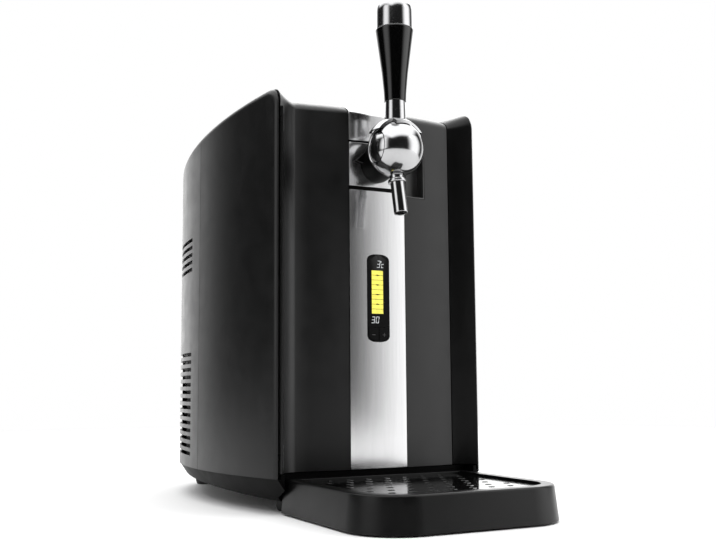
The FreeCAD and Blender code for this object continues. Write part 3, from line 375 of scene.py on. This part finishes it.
# True where a point lies inside an outline, by counting the edges that a level ray crosses
def insideOutline(points, outline):
    x, z = points[:, :1], points[:, 1:]
    fromX, fromZ = outline.T
    toX, toZ = np.roll(outline, -1, axis=0).T
    rise = np.where(toZ == fromZ, 1e-9, toZ - fromZ)      # never divides by zero
    crossed = ((fromZ > z) != (toZ > z)) & (x < fromX + (z - fromZ) / rise * (toX - fromX))
    return crossed.sum(1) % 2 == 1


sheetSet = {"inset": 0.01, "merge": 1e-5}      # mm: fold lines end short of the edge, near points merge


# sheet in x and z with openings, cut into columns, bent by y = depthOf(x), then given its thickness backwards
def bentSheet(name, outline, openings, depthOf, thick, look, body, columns, edge):
    loops = [np.asarray(loop, float) for loop in (outline, *openings)]
    flat, edges = [], []
    for loop in loops:
        start, count = sum(len(part) for part in flat), len(loop)
        flat.append(loop)
        edges += [(start + n, start + (n + 1) % count) for n in range(count)]
    low, high = loops[0].min(0), loops[0].max(0)
    inset = sheetSet["inset"]
    for x in np.linspace(low[0], high[0], columns)[1:-1]:
        start = sum(len(part) for part in flat)
        flat.append(np.array([[x, low[1] + inset], [x, high[1] - inset]]))
        edges.append((start, start + 1))
    places = [Vector(place) for place in np.vstack(flat)]
    points, _, faces, *_ = delaunay_2d_cdt(places, edges, [], 0, sheetSet["merge"])
    points = np.array([tuple(point) for point in points])
    faces = np.array([tuple(face) for face in faces])
    middles = points[faces].mean(1)
    kept = insideOutline(middles, loops[0])
    for opening in loops[1:]:
        kept &= ~insideOutline(middles, opening)
    faces = faces[kept]
    side = points[faces]
    area = np.cross(side[:, 1] - side[:, 0], side[:, 2] - side[:, 0])
    faces[area < 0] = faces[area < 0][:, ::-1]      # counter-clockwise in x and z faces the front
    x, z = points.T
    points = np.stack([x * mm, at(depthOf(x)), z * mm], -1)
    piece = pieceFrom(name, points, faces, look, body, recalculated=False)
    wall = piece.modifiers.new("thickness", "SOLIDIFY")
    wall.thickness, wall.offset = thick * mm, -1.0
    return roundEdges(piece, edge)


# each outline, a list of x z corners in mm, becomes a prism from depth low to depth high
def flatPlates(name, outlines, look, body, low, high):
    def clean(work):
        bmesh.ops.recalc_face_normals(work, faces=work.faces)

    points, faces, start = [], [], 0
    for outline in outlines:
        x, z = np.asarray(outline, float).T * mm
        points += [np.stack([x, np.full_like(x, at(depth)), z], -1) for depth in (low, high)]
        front = start + np.arange(len(x))
        back, ahead = front + len(x), np.roll(front, -1)
        faces += [front.tolist(), back[::-1].tolist()]
        faces += np.stack([front, ahead, ahead + len(x), back], -1).tolist()
        start += 2 * len(x)
    return addPiece(name, meshFrom(name, np.vstack(points).tolist(), faces, clean), look, body)


# casing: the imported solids' surfaces with small rounded edges: piece, radius in mm, its own look
casingSet = {
    "left_side_panel": ("leftSidePanel", 0.6),
    "right_side_panel": ("rightSidePanel", 0.6),
    "top_cover": ("loweredTopCover", 0.45),
    "rear_cover": ("rearCover", 0.45),
    "base_pan": ("basePan", 0.8, "panBlack"),
    "front_frame": ("frontFrame", 0.5),
    "hinge_arms": ("hingeArms", 0.3),
}
for node, choice in casingSet.items():
    softened(node, *choice)
print("casing dressed")


# door: a bulged panel with a wing on either side
doorSet = {
    "panelHalf": 77.8, "bulge": 5.0, "wingSpan": 19.3, "wingFlare": 12.5, "flarePower": 1.6,
    "beadFrom": 90.0, "beadTop": 345.6, "pinAcross": 94.3, "beadSwell": 2.3, "beadSpread": 2.4,
    "skinEdge": 0.35, "cupEdge": 0.5, "linerEdge": 1.0, "sealEdge": 0.8,
}


# the front bulges forward: -5 (1 - (x / 77.8)^2)
def panelFront(x):
    return -doorSet["bulge"] * (1 - (x / doorSet["panelHalf"]) ** 2)


# the hinge bead in the door's corner is drawn back to the wing, depth -12.5 share^1.6 with share 0 at 77.8
# and 1 at 97.1, less a low swelling over the pin: 2.3 exp(-((x - 94.3) / 2.4)^2)
def flushBead(points):
    across = np.abs(points[:, 0]) / mm
    share = np.clip((across - doorSet["panelHalf"]) / doorSet["wingSpan"], 0, 1)
    fromPin = (across - doorSet["pinAcross"]) / doorSet["beadSpread"]
    swelling = doorSet["beadSwell"] * np.exp(-fromPin ** 2)
    front = at(-doorSet["wingFlare"] * share ** doorSet["flarePower"] - swelling)
    bead = (points[:, 0] < -doorSet["beadFrom"] * mm) & (points[:, 2] < doorSet["beadTop"] * mm)
    moved = points.copy()
    moved[bead, 1] = np.maximum(points[bead, 1], front[bead])
    return moved


# the bright strip down the panel's middle, in three lengths
stripSet = {
    "half": 27.8, "low": 34.8, "high": 280.0, "proud": 0.35, "thick": 1.25, "edge": 0.3, "columns": 19,
    "narrowed": 0.982,      # width of the upper two lengths as a share of their solids' width
    # the two gaps between the lengths get dark sheets of painted shade behind them
    "joints": {"lowerJoint": (278.5, 285.0), "upperJoint": (321.5, 326.5)},
    "shadeSheetDepth": 0.95, "shadeSheetThick": 0.3, "shadeSheetEdge": 0.05, "shadeSheetColumns": 9,
}


# x becomes 0.982 x
def narrowed(points):
    return points * (stripSet["narrowed"], 1, 1)


softened("door_panel", "doorPanel", doorSet["skinEdge"], reshape=flushBead)
softened("right_wing", "rightWing", doorSet["skinEdge"])
softened("strip_upper", "upperStripPlate", stripSet["edge"], reshape=narrowed)
softened("strip_middle", "middleStripPlate", stripSet["edge"], reshape=narrowed)
# the finger cup takes the lighter grey of painted light
softened("finger_cup", "fingerCup", doorSet["cupEdge"], look="cupGrey")
softened("door_liner", "doorLiner", doorSet["linerEdge"])
softened("door_seal", "doorSeal", doorSet["sealEdge"])


# the dark display window with two keys at its foot
windowSet = {
    "half": 10.9, "low": 144.7, "high": 222.6, "rise": 6.0,
    "front": -6.0, "thick": 1.6, "edge": 0.4, "columns": 3,
    "fit": 0.25,                                       # gap between the window and the strip
    "keyHead": 157.6, "rim": 0.45, "roomTrim": 0.5,    # the keys' opening in the window
    "keyFit": 0.35, "keyTrim": 0.9, "keyGap": 0.25, "keyFront": -6.1, "keyThick": 1.2, "keyEdge": 0.25,
}


# corners of a rectangle about x = 0
def oblong(half, low, high):
    return [(-half, low), (half, low), (half, high), (-half, high)]


# the strip's lowest length lies 0.35 mm in front of the panel's curve and is open for the window
def lowerStrip(values, window):
    fit = window["fit"]
    opening = archedOutline(window["half"] + fit, window["low"] - fit, window["high"] + fit, window["rise"])
    strip = bentSheet("lowerStripPlate", oblong(values["half"], values["low"], values["high"]), [opening],
                      lambda x: panelFront(x) - values["proud"], values["thick"], "strip_steel", "door",
                      values["columns"], values["edge"])
    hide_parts("strip_lower")


# dark window with low-arched ends; an arched outline cut off at the keys' head leaves room for them
def displayWindow(values):
    half, low, high, rise = (values[key] for key in ("half", "low", "high", "rise"))
    head, rim = values["keyHead"], values["rim"]
    room = archedOutline(half - rim, low + rim, high, rise)
    room = room[room[:, 1] < head - values["roomTrim"]]
    room = np.vstack([room, [[half - rim, head], [-half + rim, head]]])
    window = bentSheet("displayWindow", archedOutline(half, low, high, rise), [room],
                       lambda x: np.full_like(x, values["front"]), values["thick"], "windowBlack", "door",
                       values["columns"], values["edge"])
    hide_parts("display_window")


# the two keys share the room: the right one's outline, turned over about x = 0, gives the left one
def windowKeys(values):
    inset, head, gap = values["rim"] + values["keyFit"], values["keyHead"], values["keyGap"]
    side, top = values["half"] - inset, head - values["keyFit"]
    inner = archedOutline(side, values["low"] + inset, values["high"], values["rise"])
    inner = inner[inner[:, 1] < head - values["keyTrim"]]
    right = np.vstack([[[gap, top], [gap, inner[:, 1].min()]], inner[inner[:, 0] > gap], [[side, top]]])
    left = right[::-1] * (-1, 1)
    for name, outline, node in (("minusKey", left, "minus_button"), ("plusKey", right, "plus_button")):
        key = flatPlates(name, [outline], "windowBlack", bodyOf[node], values["keyFront"],
                         values["keyFront"] + values["keyThick"])
        roundEdges(key, values["keyEdge"])
        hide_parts(node)


# painted shade: dark sheets behind the gaps between the strip's three lengths, 0.95 mm behind the panel's
# curve, stand in for the shade in those gaps
def stripGapShade(values):
    for name, (low, high) in values["joints"].items():
        bentSheet(name, oblong(values["half"], low, high), [],
                  lambda x: panelFront(x) + values["shadeSheetDepth"], values["shadeSheetThick"], "panBlack", "door",
                  values["shadeSheetColumns"], values["shadeSheetEdge"])


lowerStrip(stripSet, windowSet)
displayWindow(windowSet)
windowKeys(windowSet)
stripGapShade(stripSet)
print("door dressed")


# tap: its parts are turned round the ball's centre
tapSet = {
    "depth": -40.0, "height": 311.2, "radius": 22.6, "wall": 2.0,
    "slotHalf": 4.4, "slotFrom": -6.0, "slotTo": 40.0,      # degrees of tilt that the lever's stem sweeps
    "slotRows": 24, "otherRows": 130, "sideColumns": 22, "slotColumns": 8,
    "seam": 18.0, "seamGap": 0.15, "domeRows": 22,
    "domeFoot": ((2.0, 0.0), (0.5, 0.02), (0.12, 0.14)),    # inwards from the rim and outwards along X
    "axle": ((0, -5), (2.5, -5), (2.5, 5), (0, 5)),
    "collarEdge": 0.5, "shankEdge": 0.4,
}
ballCentre = np.array([0.0, at(tapSet["depth"]), tapSet["height"] * mm])


# sphere about the X axis: R (sin b, -cos b sin a, cos b cos a) for tilt a and lean b, left open where the
# lever's stem sweeps
def ballBand(values):
    half, slot = (math.asin(values[key] / values["radius"]) for key in ("seam", "slotHalf"))
    rows, across, between = values["slotRows"], values["sideColumns"], values["slotColumns"]
    fromTilt, toTilt = values["slotFrom"], values["slotTo"]
    tilt = np.radians(np.concatenate([np.linspace(fromTilt, toTilt, rows),
                                      np.linspace(toTilt, 360 + fromTilt, values["otherRows"])[1:-1]]))
    lean = np.concatenate([np.linspace(-half, -slot, across), np.linspace(-slot, slot, between)[1:-1],
                           np.linspace(slot, half, across)])
    a, b = np.meshgrid(tilt, lean, indexing="ij")
    unit = np.stack([np.sin(b), -np.cos(b) * np.sin(a), np.cos(b) * np.cos(a)], -1)
    faces = wovenFaces(len(tilt), len(lean), closedRows=True)
    row, column = faces[:, 0] // len(lean), faces[:, 0] % len(lean)
    inSlot = (row < rows - 1) & (column >= across - 1) & (column < across + between - 2)
    points = ballCentre + values["radius"] * mm * unit
    piece = pieceFrom("tapBall", points, faces[~inSlot], "chrome", "door", recalculated=False)
    wall = piece.modifiers.new("wall", "SOLIDIFY")
    wall.thickness, wall.offset = values["wall"] * mm, -1.0
    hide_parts("tap_ball")


# spherical cap past the seam: radius sqrt(R^2 - x^2), its rim eased inwards
def pivotDome(name, side, values):
    radius, start = values["radius"], values["seam"] + values["seamGap"]
    rim = math.sqrt(radius ** 2 - start ** 2)
    height = start + (radius - start) * np.sin(np.linspace(0, np.pi / 2, values["domeRows"]))
    dome = np.stack([np.sqrt(np.maximum(radius ** 2 - height ** 2, 0)), height], -1)
    foot = [(0, start)] + [(rim - inwards, start + up) for inwards, up in values["domeFoot"]]
    profile = np.vstack([foot, dome[1:]])
    piece = turnedPiece(name, profile, ballCentre, (side, 0, 0), "chrome", "door", sharp=60)
    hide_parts("pivot_caps")


ballBand(tapSet)
pivotDome("leftPivotDome", -1, tapSet)
pivotDome("rightPivotDome", 1, tapSet)
turnedPiece("ballAxle", tapSet["axle"], ballCentre, (1, 0, 0), "steel", "door", steps=32)


# lever: grip and cap are radius and height above the floor, the dark ring of painted shade under the crown
# radius and depth from the ball's centre
leverSet = {
    "crownEdge": 0.35, "crownHollow": 2.6, "crownLift": 1.6,
    "hollowFrom": 0.3, "shellFrom": 0.8, "shellTo": 3.05,      # mm above the ball's surface in the solid
    "shadeRingProfile": ((20.4, -9.4), (23.5, -9.4), (23.5, -7.4), (20.4, -7.4)),
    "shadeRingFrom": 38.0, "shadeRingSteps": 60,                         # degrees above level at both cheeks
    "grip": ((0, 352.8), (9.4, 352.8), (9.8, 354.2), (10.1, 361.5), (11.7, 378.5), (14.6, 400), (16.7, 415.5),
             (17.0, 417.6), (16.4, 418.4), (0, 418.4)),
    "cap": ((0, 418.5), (15.9, 418.5), (16.25, 419), (16.35, 424), (16.2, 436), (15.2, 440.6), (11.5, 443.2),
            (5, 443.95), (0, 444)),
    "gripEase": 2.5, "capEase": 2.2,
}


# the crown stands clear of the ball: its hollow goes to 2.6 mm above the surface, its shell moves out 1.6 mm
def liftCrown(points):
    offset = points - ballCentre
    length = np.linalg.norm(offset, axis=1)
    above = length / mm - tapSet["radius"]
    hollow = (above > leverSet["hollowFrom"]) & (above < leverSet["shellFrom"])
    shell = (above >= leverSet["shellFrom"]) & (above < leverSet["shellTo"])
    lift = np.where(hollow, leverSet["crownHollow"] - above, np.where(shell, leverSet["crownLift"], 0)) * mm
    return points + offset / np.maximum(length, 1e-6)[:, None] * lift[:, None]


# painted shade: a dark ring along the crown's front edge stands in for the shade in the gap between crown and
# ball, an arc about Y from the right cheek over the top to the left one
def crownSeal(values):
    angle = np.radians(np.linspace(values["shadeRingFrom"], 180 - values["shadeRingFrom"], values["shadeRingSteps"]))
    radius, depth = np.array(values["shadeRingProfile"]).T * mm
    ring = np.stack([np.cos(angle), 0 * angle, np.sin(angle)], -1)
    points = ballCentre + radius[:, None] * ring[:, None, :] + depth[:, None] * np.array([0.0, 1.0, 0.0])
    sides = wovenFaces(len(angle), len(radius), closedColumns=True)
    ends = [[3, 2, 1, 0], np.arange(-4, 0) + 4 * len(angle)]
    pieceFrom("crownSeal", points, np.vstack([sides, ends]), "windowBlack", "lever")


softened("lever_crown", "leverCrown", leverSet["crownEdge"], reshape=liftCrown)
softened("tap_collar", "tapCollar", tapSet["collarEdge"], look="panBlack")
crownSeal(leverSet)
softened("tap_shank", "tapShank", tapSet["shankEdge"])

handleFoot = (0.0, ballCentre[1], 0.0)
gripLine = eased(leverSet["grip"], leverSet["gripEase"])
grip = turnedPiece("leverGrip", gripLine, handleFoot, (0, 0, 1), "gloss_black", "lever", sharp=50)
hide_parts("grip")
capLine = eased(leverSet["cap"], leverSet["capEase"])
cap = turnedPiece("leverEndCap", capLine, handleFoot, (0, 0, 1), "chrome", "lever", sharp=60)
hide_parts("end_cap")
print("handle made")


# spout: a leaning tube; lip and ring lie inwards and outwards from its radius and up from its tip
spoutSet = {
    "lean": 12.0, "tipDepth": -48.1, "tipHeight": 253.1, "radius": 6.1, "wall": 0.8, "length": 36.4,
    "lip": ((0, 0.5), (0.15, 0.1), (0.4, 0), (0.65, 0.1), (0.8, 0.5)),
    "throatInset": 0.85, "throatRim": 0.6, "throatMiddle": 1.5,
    "ring": ((0, 28), (1.4, 28), (1.8, 28.3), (1.9, 28.9), (1.9, 30.1), (1.8, 30.7), (1.4, 31), (0, 31),
             (0, 28)),
    "tubeSides": 72, "throatSides": 48,
}


# each part is a profile turned round the line tip + h (0, sin lean, cos lean)
def spoutPieces(values):
    lean, radius, length = math.radians(values["lean"]), values["radius"], values["length"]
    axis = (0.0, math.sin(lean), math.cos(lean))
    tip = (0.0, at(values["tipDepth"]), values["tipHeight"] * mm)
    bore, throat = radius - values["wall"], radius - values["throatInset"]
    sides = values["tubeSides"]
    lip = [(radius - inwards, up) for inwards, up in values["lip"]]
    tube = [(bore, length), (radius, length), *lip, (bore, length)]
    piece = turnedPiece("spoutTube", tube, tip, axis, "chrome", "door", sides, sharp=50)
    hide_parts("spout")
    dark = [(0, values["throatMiddle"]), (throat, values["throatRim"]), (throat, length), (0, length)]
    turnedPiece("spoutThroat", dark, tip, axis, "windowBlack", "door", values["throatSides"], sharp=50)
    ring = [(radius + outwards, up) for outwards, up in values["ring"]]
    piece = turnedPiece("spoutRing", ring, tip, axis, "chrome", "door", sides, sharp=50)
    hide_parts("spout_ring")


spoutPieces(spoutSet)
print("spout made")


# tray: the outline of its solid, and how far the rim's inner edge moves inward
traySet = {
    "half": 88.3, "front": -160.0, "back": -1.2, "corner": 40.0, "floor": 13.0,
    "inward": 5.5, "rimFrom": 4.0, "rimTo": 12.0,      # points this far in from the outline move
    "trayEdge": 0.8, "gridEdge": 0.3, "feetEdge": 0.8,
}


# widens the rim: points above the floor that lie 4 to 12 mm inside the outline move 5.5 mm inward, at right
# angles to the sides or towards a front corner's centre
def widenRim(points):
    x, y = points[:, 0] / mm, points[:, 1] / mm - frontLine
    half, front, back, corner = (traySet[key] for key in ("half", "front", "back", "corner"))
    push = traySet["inward"]
    middleX, middleY = half - corner, front + corner
    offX, offY = np.abs(x) - middleX, y - middleY
    away = np.hypot(offX, offY)
    inCorner = (offX > 0) & (offY < 0)
    upper = points[:, 2] / mm > traySet["floor"]

    def within(inset):
        return upper & (inset > traySet["rimFrom"]) & (inset < traySet["rimTo"])

    moved = points.copy()
    bend = inCorner & within(corner - away)
    scale = np.where(bend, (away - push) / np.maximum(away, 1e-6), 1)
    moved[bend, 0] = (np.sign(x) * (middleX + offX * scale))[bend] * mm
    moved[bend, 1] = at(middleY + offY * scale)[bend]
    side = ~inCorner & within(half - np.abs(x))
    moved[side, 0] -= np.sign(x[side]) * push * mm
    moved[~inCorner & within(y - front), 1] += push * mm
    moved[~inCorner & within(back - y), 1] -= push * mm
    return moved


# the plate and its holes shrink about the plate's middle so that each edge moves in as far as the rim does:
# middle + (point - middle) (1 - 5.5 / reach) in x and y, with reach half of the plate's size
def shrinkGrid(points):
    plate = pointsOf(nodes["drip_grid"].data)
    low, high = plate.min(0), plate.max(0)
    middle, reach = (low + high) / 2, (high - low) / 2
    scale = np.array([*(1 - traySet["inward"] * mm / reach[:2]), 1.0])
    return middle + (points - middle) * scale


softened("drip_tray", "dripTray", traySet["trayEdge"], segments=3, reshape=widenRim)
softened("drip_grid", "dripGrid", traySet["gridEdge"], reshape=shrinkGrid)
softened("rubber_feet", "rubberFeet", traySet["feetEdge"])
print("tray made")


# display: bars, figures and signs lie just proud of the dark window and the keys
displaySet = {
    "front": windowSet["front"], "proud": 0.05, "sunk": 0.05,
    "left": -6.9, "right": 4.5, "barLow": 169.6, "barHigh": 208.4, "bars": 9, "barGap": 0.34,
    "dashLeft": -4.0, "dashRight": 1.9, "dashHalf": 0.6, "dashProud": 0.09, "dashSunk": 0.04,
    "lean": 0.16, "stroke": 0.52,
    # left foot x and z, width and height of each figure
    "figures": (
        ("three", -1.6, 210.7, 2.8, 6.4), ("degree", 2.0, 215.3, 1.0, 1.3), ("curve", 2.6, 210.7, 2.2, 3.6),
        ("three", -7.4, 161.2, 2.9, 5.8), ("zero", -3.3, 161.2, 3.0, 5.8),
    ),
    # name, key and middle x of each sign
    "signs": (("minusSign", "minus_button", -5.3), ("plusSign", "plus_button", 5.4)),
    "signHeight": 150.9, "signArm": 1.7, "signHalf": 0.3,
}
# which strokes of a squared figure are lit
strokesOf = {
    "three": ("top", "mid", "low", "upRight", "downRight"), "degree": ("top", "low"),
    "curve": ("top", "low", "upLeft", "downLeft"),
    "zero": ("top", "low", "upLeft", "upRight", "downLeft", "downRight"),
}


# outlines of a leaning squared figure's strokes: x moves to the side by 0.16 of the height
def figureStrokes(kind, x, z, wide, tall, values):
    stroke = values["stroke"]
    middle, half = tall / 2, stroke / 2
    bars = {
        "top": (0, wide, tall - stroke, tall), "mid": (0, wide, middle - half, middle + half),
        "low": (0, wide, 0, stroke), "upLeft": (0, stroke, middle + half, tall - stroke),
        "upRight": (wide - stroke, wide, middle + half, tall - stroke),
        "downLeft": (0, stroke, stroke, middle - half),
        "downRight": (wide - stroke, wide, stroke, middle - half),
    }
    made = []
    for side in strokesOf[kind]:
        left, right, foot, head = bars[side]
        corners = [(left, foot), (right, foot), (right, head), (left, head)]
        made.append([(x + across + values["lean"] * up, z + up) for across, up in corners])
    return made


# equal bars fill the height, each with a gap over it; dark diamonds lie across every second gap
def levelPieces(values):
    left, right, front, gap = (values[key] for key in ("left", "right", "front", "barGap"))
    step = (values["barHigh"] - values["barLow"]) / values["bars"]
    lines = values["barLow"] + step * np.arange(values["bars"])
    outlines = [[(left, z), (right, z), (right, z + step - gap), (left, z + step - gap)] for z in lines]
    bars = flatPlates("levelBars", outlines, "display_yellow", "door", front - values["proud"],
                      front + values["sunk"])
    dashLeft, dashRight, half = values["dashLeft"], values["dashRight"], values["dashHalf"]
    middle = (dashLeft + dashRight) / 2
    dashes = [[(dashLeft, z), (middle, z - half), (dashRight, z), (middle, z + half)]
              for z in lines[2::2] - gap / 2]
    flatPlates("levelMarks", dashes, "windowBlack", "door", front - values["dashProud"],
               front + values["dashSunk"])


# figures on the window; a bar and a cross on the keys
def figurePieces(values):
    front, proud, sunk = values["front"], values["proud"], values["sunk"]
    strokes = [stroke for figure in values["figures"] for stroke in figureStrokes(*figure, values)]
    flatPlates("figures", strokes, "figureWhite", "door", front - proud, front + sunk)
    face, z, a, h = windowSet["keyFront"], values["signHeight"], values["signArm"], values["signHalf"]
    bar = [(-a, -h), (a, -h), (a, h), (-a, h)]
    cross = [(-a, -h), (-h, -h), (-h, -a), (h, -a), (h, -h), (a, -h),
             (a, h), (h, h), (h, a), (-h, a), (-h, h), (-a, h)]
    for (name, node, x), shape in zip(values["signs"], (bar, cross)):
        sign = [(x + across, z + up) for across, up in shape]
        flatPlates(name, [sign], "signGrey", bodyOf[node], face - proud, face + sunk)


levelPieces(displaySet)
figurePieces(displaySet)
print("display made")


# inlet pins: three flat blades in the well at the back
inletSet = {
    "pins": ((-26.0, 56.4), (-20.0, 59.4), (-14.0, 56.4)), "halfWide": 0.95, "halfHigh": 2.1,
    "from": 315.5, "to": 329.0, "edge": 0.3,
}


def inletPins(values):
    blades = [np.array(oblong(values["halfWide"], -values["halfHigh"], values["halfHigh"])) + pin
              for pin in values["pins"]]
    pins = flatPlates("inletPins", blades, "steel", bodyOf["mains_inlet"], values["from"], values["to"])
    roundEdges(pins, values["edge"])


inletPins(inletSet)


# raised rims round the grid's drain holes: one small ring, set at every hole of the staggered field
drainSet = {
    "pitch": 19.0, "first": -146.0, "rows": 8, "columns": 4, "reach": 74.0, "cornerReach": 52.0,
    "top": 27.0, "ring": ((2.12, -0.4), (2.2, 0.12), (2.6, 0.3), (3.1, 0.02), (3.1, -0.2)), "steps": 20,
}


# x = pitch column, half a pitch aside in every even row; y = first + pitch row; the front corners stay free
def drainRims(values):
    pitch, columns = values["pitch"], values["columns"]
    row, column = np.meshgrid(np.arange(values["rows"]), np.arange(-columns, columns + 1), indexing="ij")
    x = column * pitch + np.where(row % 2, 0, pitch / 2)
    depth = values["first"] + row * pitch
    kept = (np.abs(x) < values["reach"]) & ~((row == 0) & (np.abs(x) > values["cornerReach"]))
    places = np.stack([x[kept] * mm, at(depth[kept]), np.full(kept.sum(), values["top"] * mm)], -1)
    ring, faces = turnedShape(values["ring"], (0, 0, 0), (0, 0, 1), values["steps"])
    ring = ring.reshape(-1, 3)
    points = shrinkGrid(places)[:, None, :] + ring[None, :, :]
    faces = faces[None] + (np.arange(len(places)) * len(ring))[:, None, None]
    piece = pieceFrom("drainRims", points, faces.reshape(-1, 4), "polished_grid", bodyOf["drip_grid"],
                      sharp=60, recalculated=False)
    piece.data.flip_normals()


drainRims(drainSet)
print("small parts made")


# studio: white for the eye, dim all round except a backdrop behind and soft boxes at both sides and above
studioSet = {
    "floorRadius": 1.7, "floorSides": 96, "floorTone": 0.92, "floorRough": 0.8,
    "dim": 0.02, "bright": 2.4, "backdropTurn": 27.0, "backdropFrom": 0.52, "backdropTo": 0.92,
    "overhead": {"height": 2.2, "span": 5.4, "glow": 2.4, "fade": (0.2, 0.2)},
    # turn from straight ahead and half angle in degrees; distance, lowest and highest point in metres
    "rightBox": {"turn": 52.5, "half": 35.0, "away": 1.7, "low": -0.3, "high": 1.7,
                 "glow": 2.4, "fade": (0.4, 0.12)},
    "leftBox": {"turn": -78.0, "half": 26.0, "away": 1.7, "low": 0.02, "high": 1.7,
                "glow": 1.9, "fade": (0.4, 0.12)},
}


# soft box whose glow fades smoothly to nothing over the given shares of its width and height at its edges
def softLight(name, place, target, span, glow, fade):
    data = bpy.data.lights.new(name, "AREA")
    data.shape = "RECTANGLE"
    data.size, data.size_y = span
    data.energy = glow * math.pi * span[0] * span[1]
    data.use_nodes = True
    tree = data.node_tree
    shape = tree.nodes.new("ShaderNodeNewGeometry")
    parts = tree.nodes.new("ShaderNodeSeparateXYZ")
    tree.links.new(shape.outputs["Parametric"], parts.inputs["Vector"])
    both = tree.nodes.new("ShaderNodeMath")
    both.operation = "MULTIPLY"
    for n, (side, reach) in enumerate(zip("XY", fade)):
        centred = tree.nodes.new("ShaderNodeMath")
        centred.operation = "PINGPONG"
        centred.inputs[1].default_value = 0.5      # 0 at both edges, 0.5 in the middle
        tree.links.new(parts.outputs[side], centred.inputs[0])
        lit = spreadOf(tree, centred.outputs[0], 0.0, 1.0, 0.0, reach)
        lit.node.interpolation_type = "SMOOTHSTEP"
        tree.links.new(lit, both.inputs[n])
    tree.links.new(both.outputs[0], tree.nodes["Emission"].inputs["Strength"])
    lamp = bpy.data.objects.new(name, data)
    lamp.rotation_mode = "QUATERNION"
    lamp.rotation_quaternion = (Vector(target) - Vector(place)).to_track_quat("-Z", "Y")
    lamp.location = place
    scene.collection.objects.link(lamp)


# upright soft box at away (sin turn, -cos turn), 2 away tan(half) wide, which faces the Z axis
def sideBox(name, values):
    turn, away = math.radians(values["turn"]), values["away"]
    middle = (values["low"] + values["high"]) / 2
    place = (away * math.sin(turn), -away * math.cos(turn), middle)
    span = (2 * away * math.tan(math.radians(values["half"])), values["high"] - values["low"])
    softLight(name, place, (0, 0, middle), span, values["glow"], values["fade"])


# flat disc of radius R: (R cos t, R sin t, 0)
def paleFloor(values):
    turn = np.linspace(0, 2 * np.pi, values["floorSides"], endpoint=False)
    disc = values["floorRadius"] * np.stack([np.cos(turn), np.sin(turn), 0 * turn], -1)
    mesh = bpy.data.meshes.new("paleFloor")
    mesh.from_pydata(disc.tolist(), [], [list(range(len(turn)))])
    floor = bpy.data.objects.new("paleFloor", mesh)
    scene.collection.objects.link(floor)
    made, tree, shader = nodeMaterial("paleFloor")
    shader.inputs["Base Color"].default_value = (values["floorTone"],) * 3 + (1,)
    shader.inputs["Roughness"].default_value = values["floorRough"]
    mesh.materials.append(made)


# the world glows by how far a ray points at the backdrop; the camera's own rays see plain white
def paleRoom(values):
    world = bpy.data.worlds.new("paleRoom")
    scene.world = world
    world.use_nodes = True
    tree = world.node_tree
    around = tree.nodes.new("ShaderNodeTexCoord")
    facing = tree.nodes.new("ShaderNodeVectorMath")
    facing.operation = "DOT_PRODUCT"
    turn = math.radians(values["backdropTurn"])
    facing.inputs[1].default_value = (math.sin(turn), math.cos(turn), 0)
    tree.links.new(around.outputs["Generated"], facing.inputs[0])
    glow = spreadOf(tree, facing.outputs["Value"], values["dim"], values["bright"], values["backdropFrom"],
                    values["backdropTo"])
    seen = tree.nodes.new("ShaderNodeLightPath")
    mixed = tree.nodes.new("ShaderNodeMix")
    factor, first, second = (mixed.inputs[n] for n in (0, 2, 3))      # the node's number sockets
    second.default_value = 1.0
    tree.links.new(seen.outputs["Is Camera Ray"], factor)
    tree.links.new(glow, first)
    tree.links.new(mixed.outputs[0], tree.nodes["Background"].inputs["Strength"])
    tree.nodes["Background"].inputs["Color"].default_value = (1, 1, 1, 1)


paleFloor(studioSet)
paleRoom(studioSet)
above = studioSet["overhead"]
softLight("overheadBox", (0, 0, above["height"]), (0, 0, 0), (above["span"], above["span"]), above["glow"],
          above["fade"])
sideBox("rightBox", studioSet["rightBox"])
sideBox("leftBox", studioSet["leftBox"])
scene.view_settings.view_transform = "Standard"
print("studio lit")
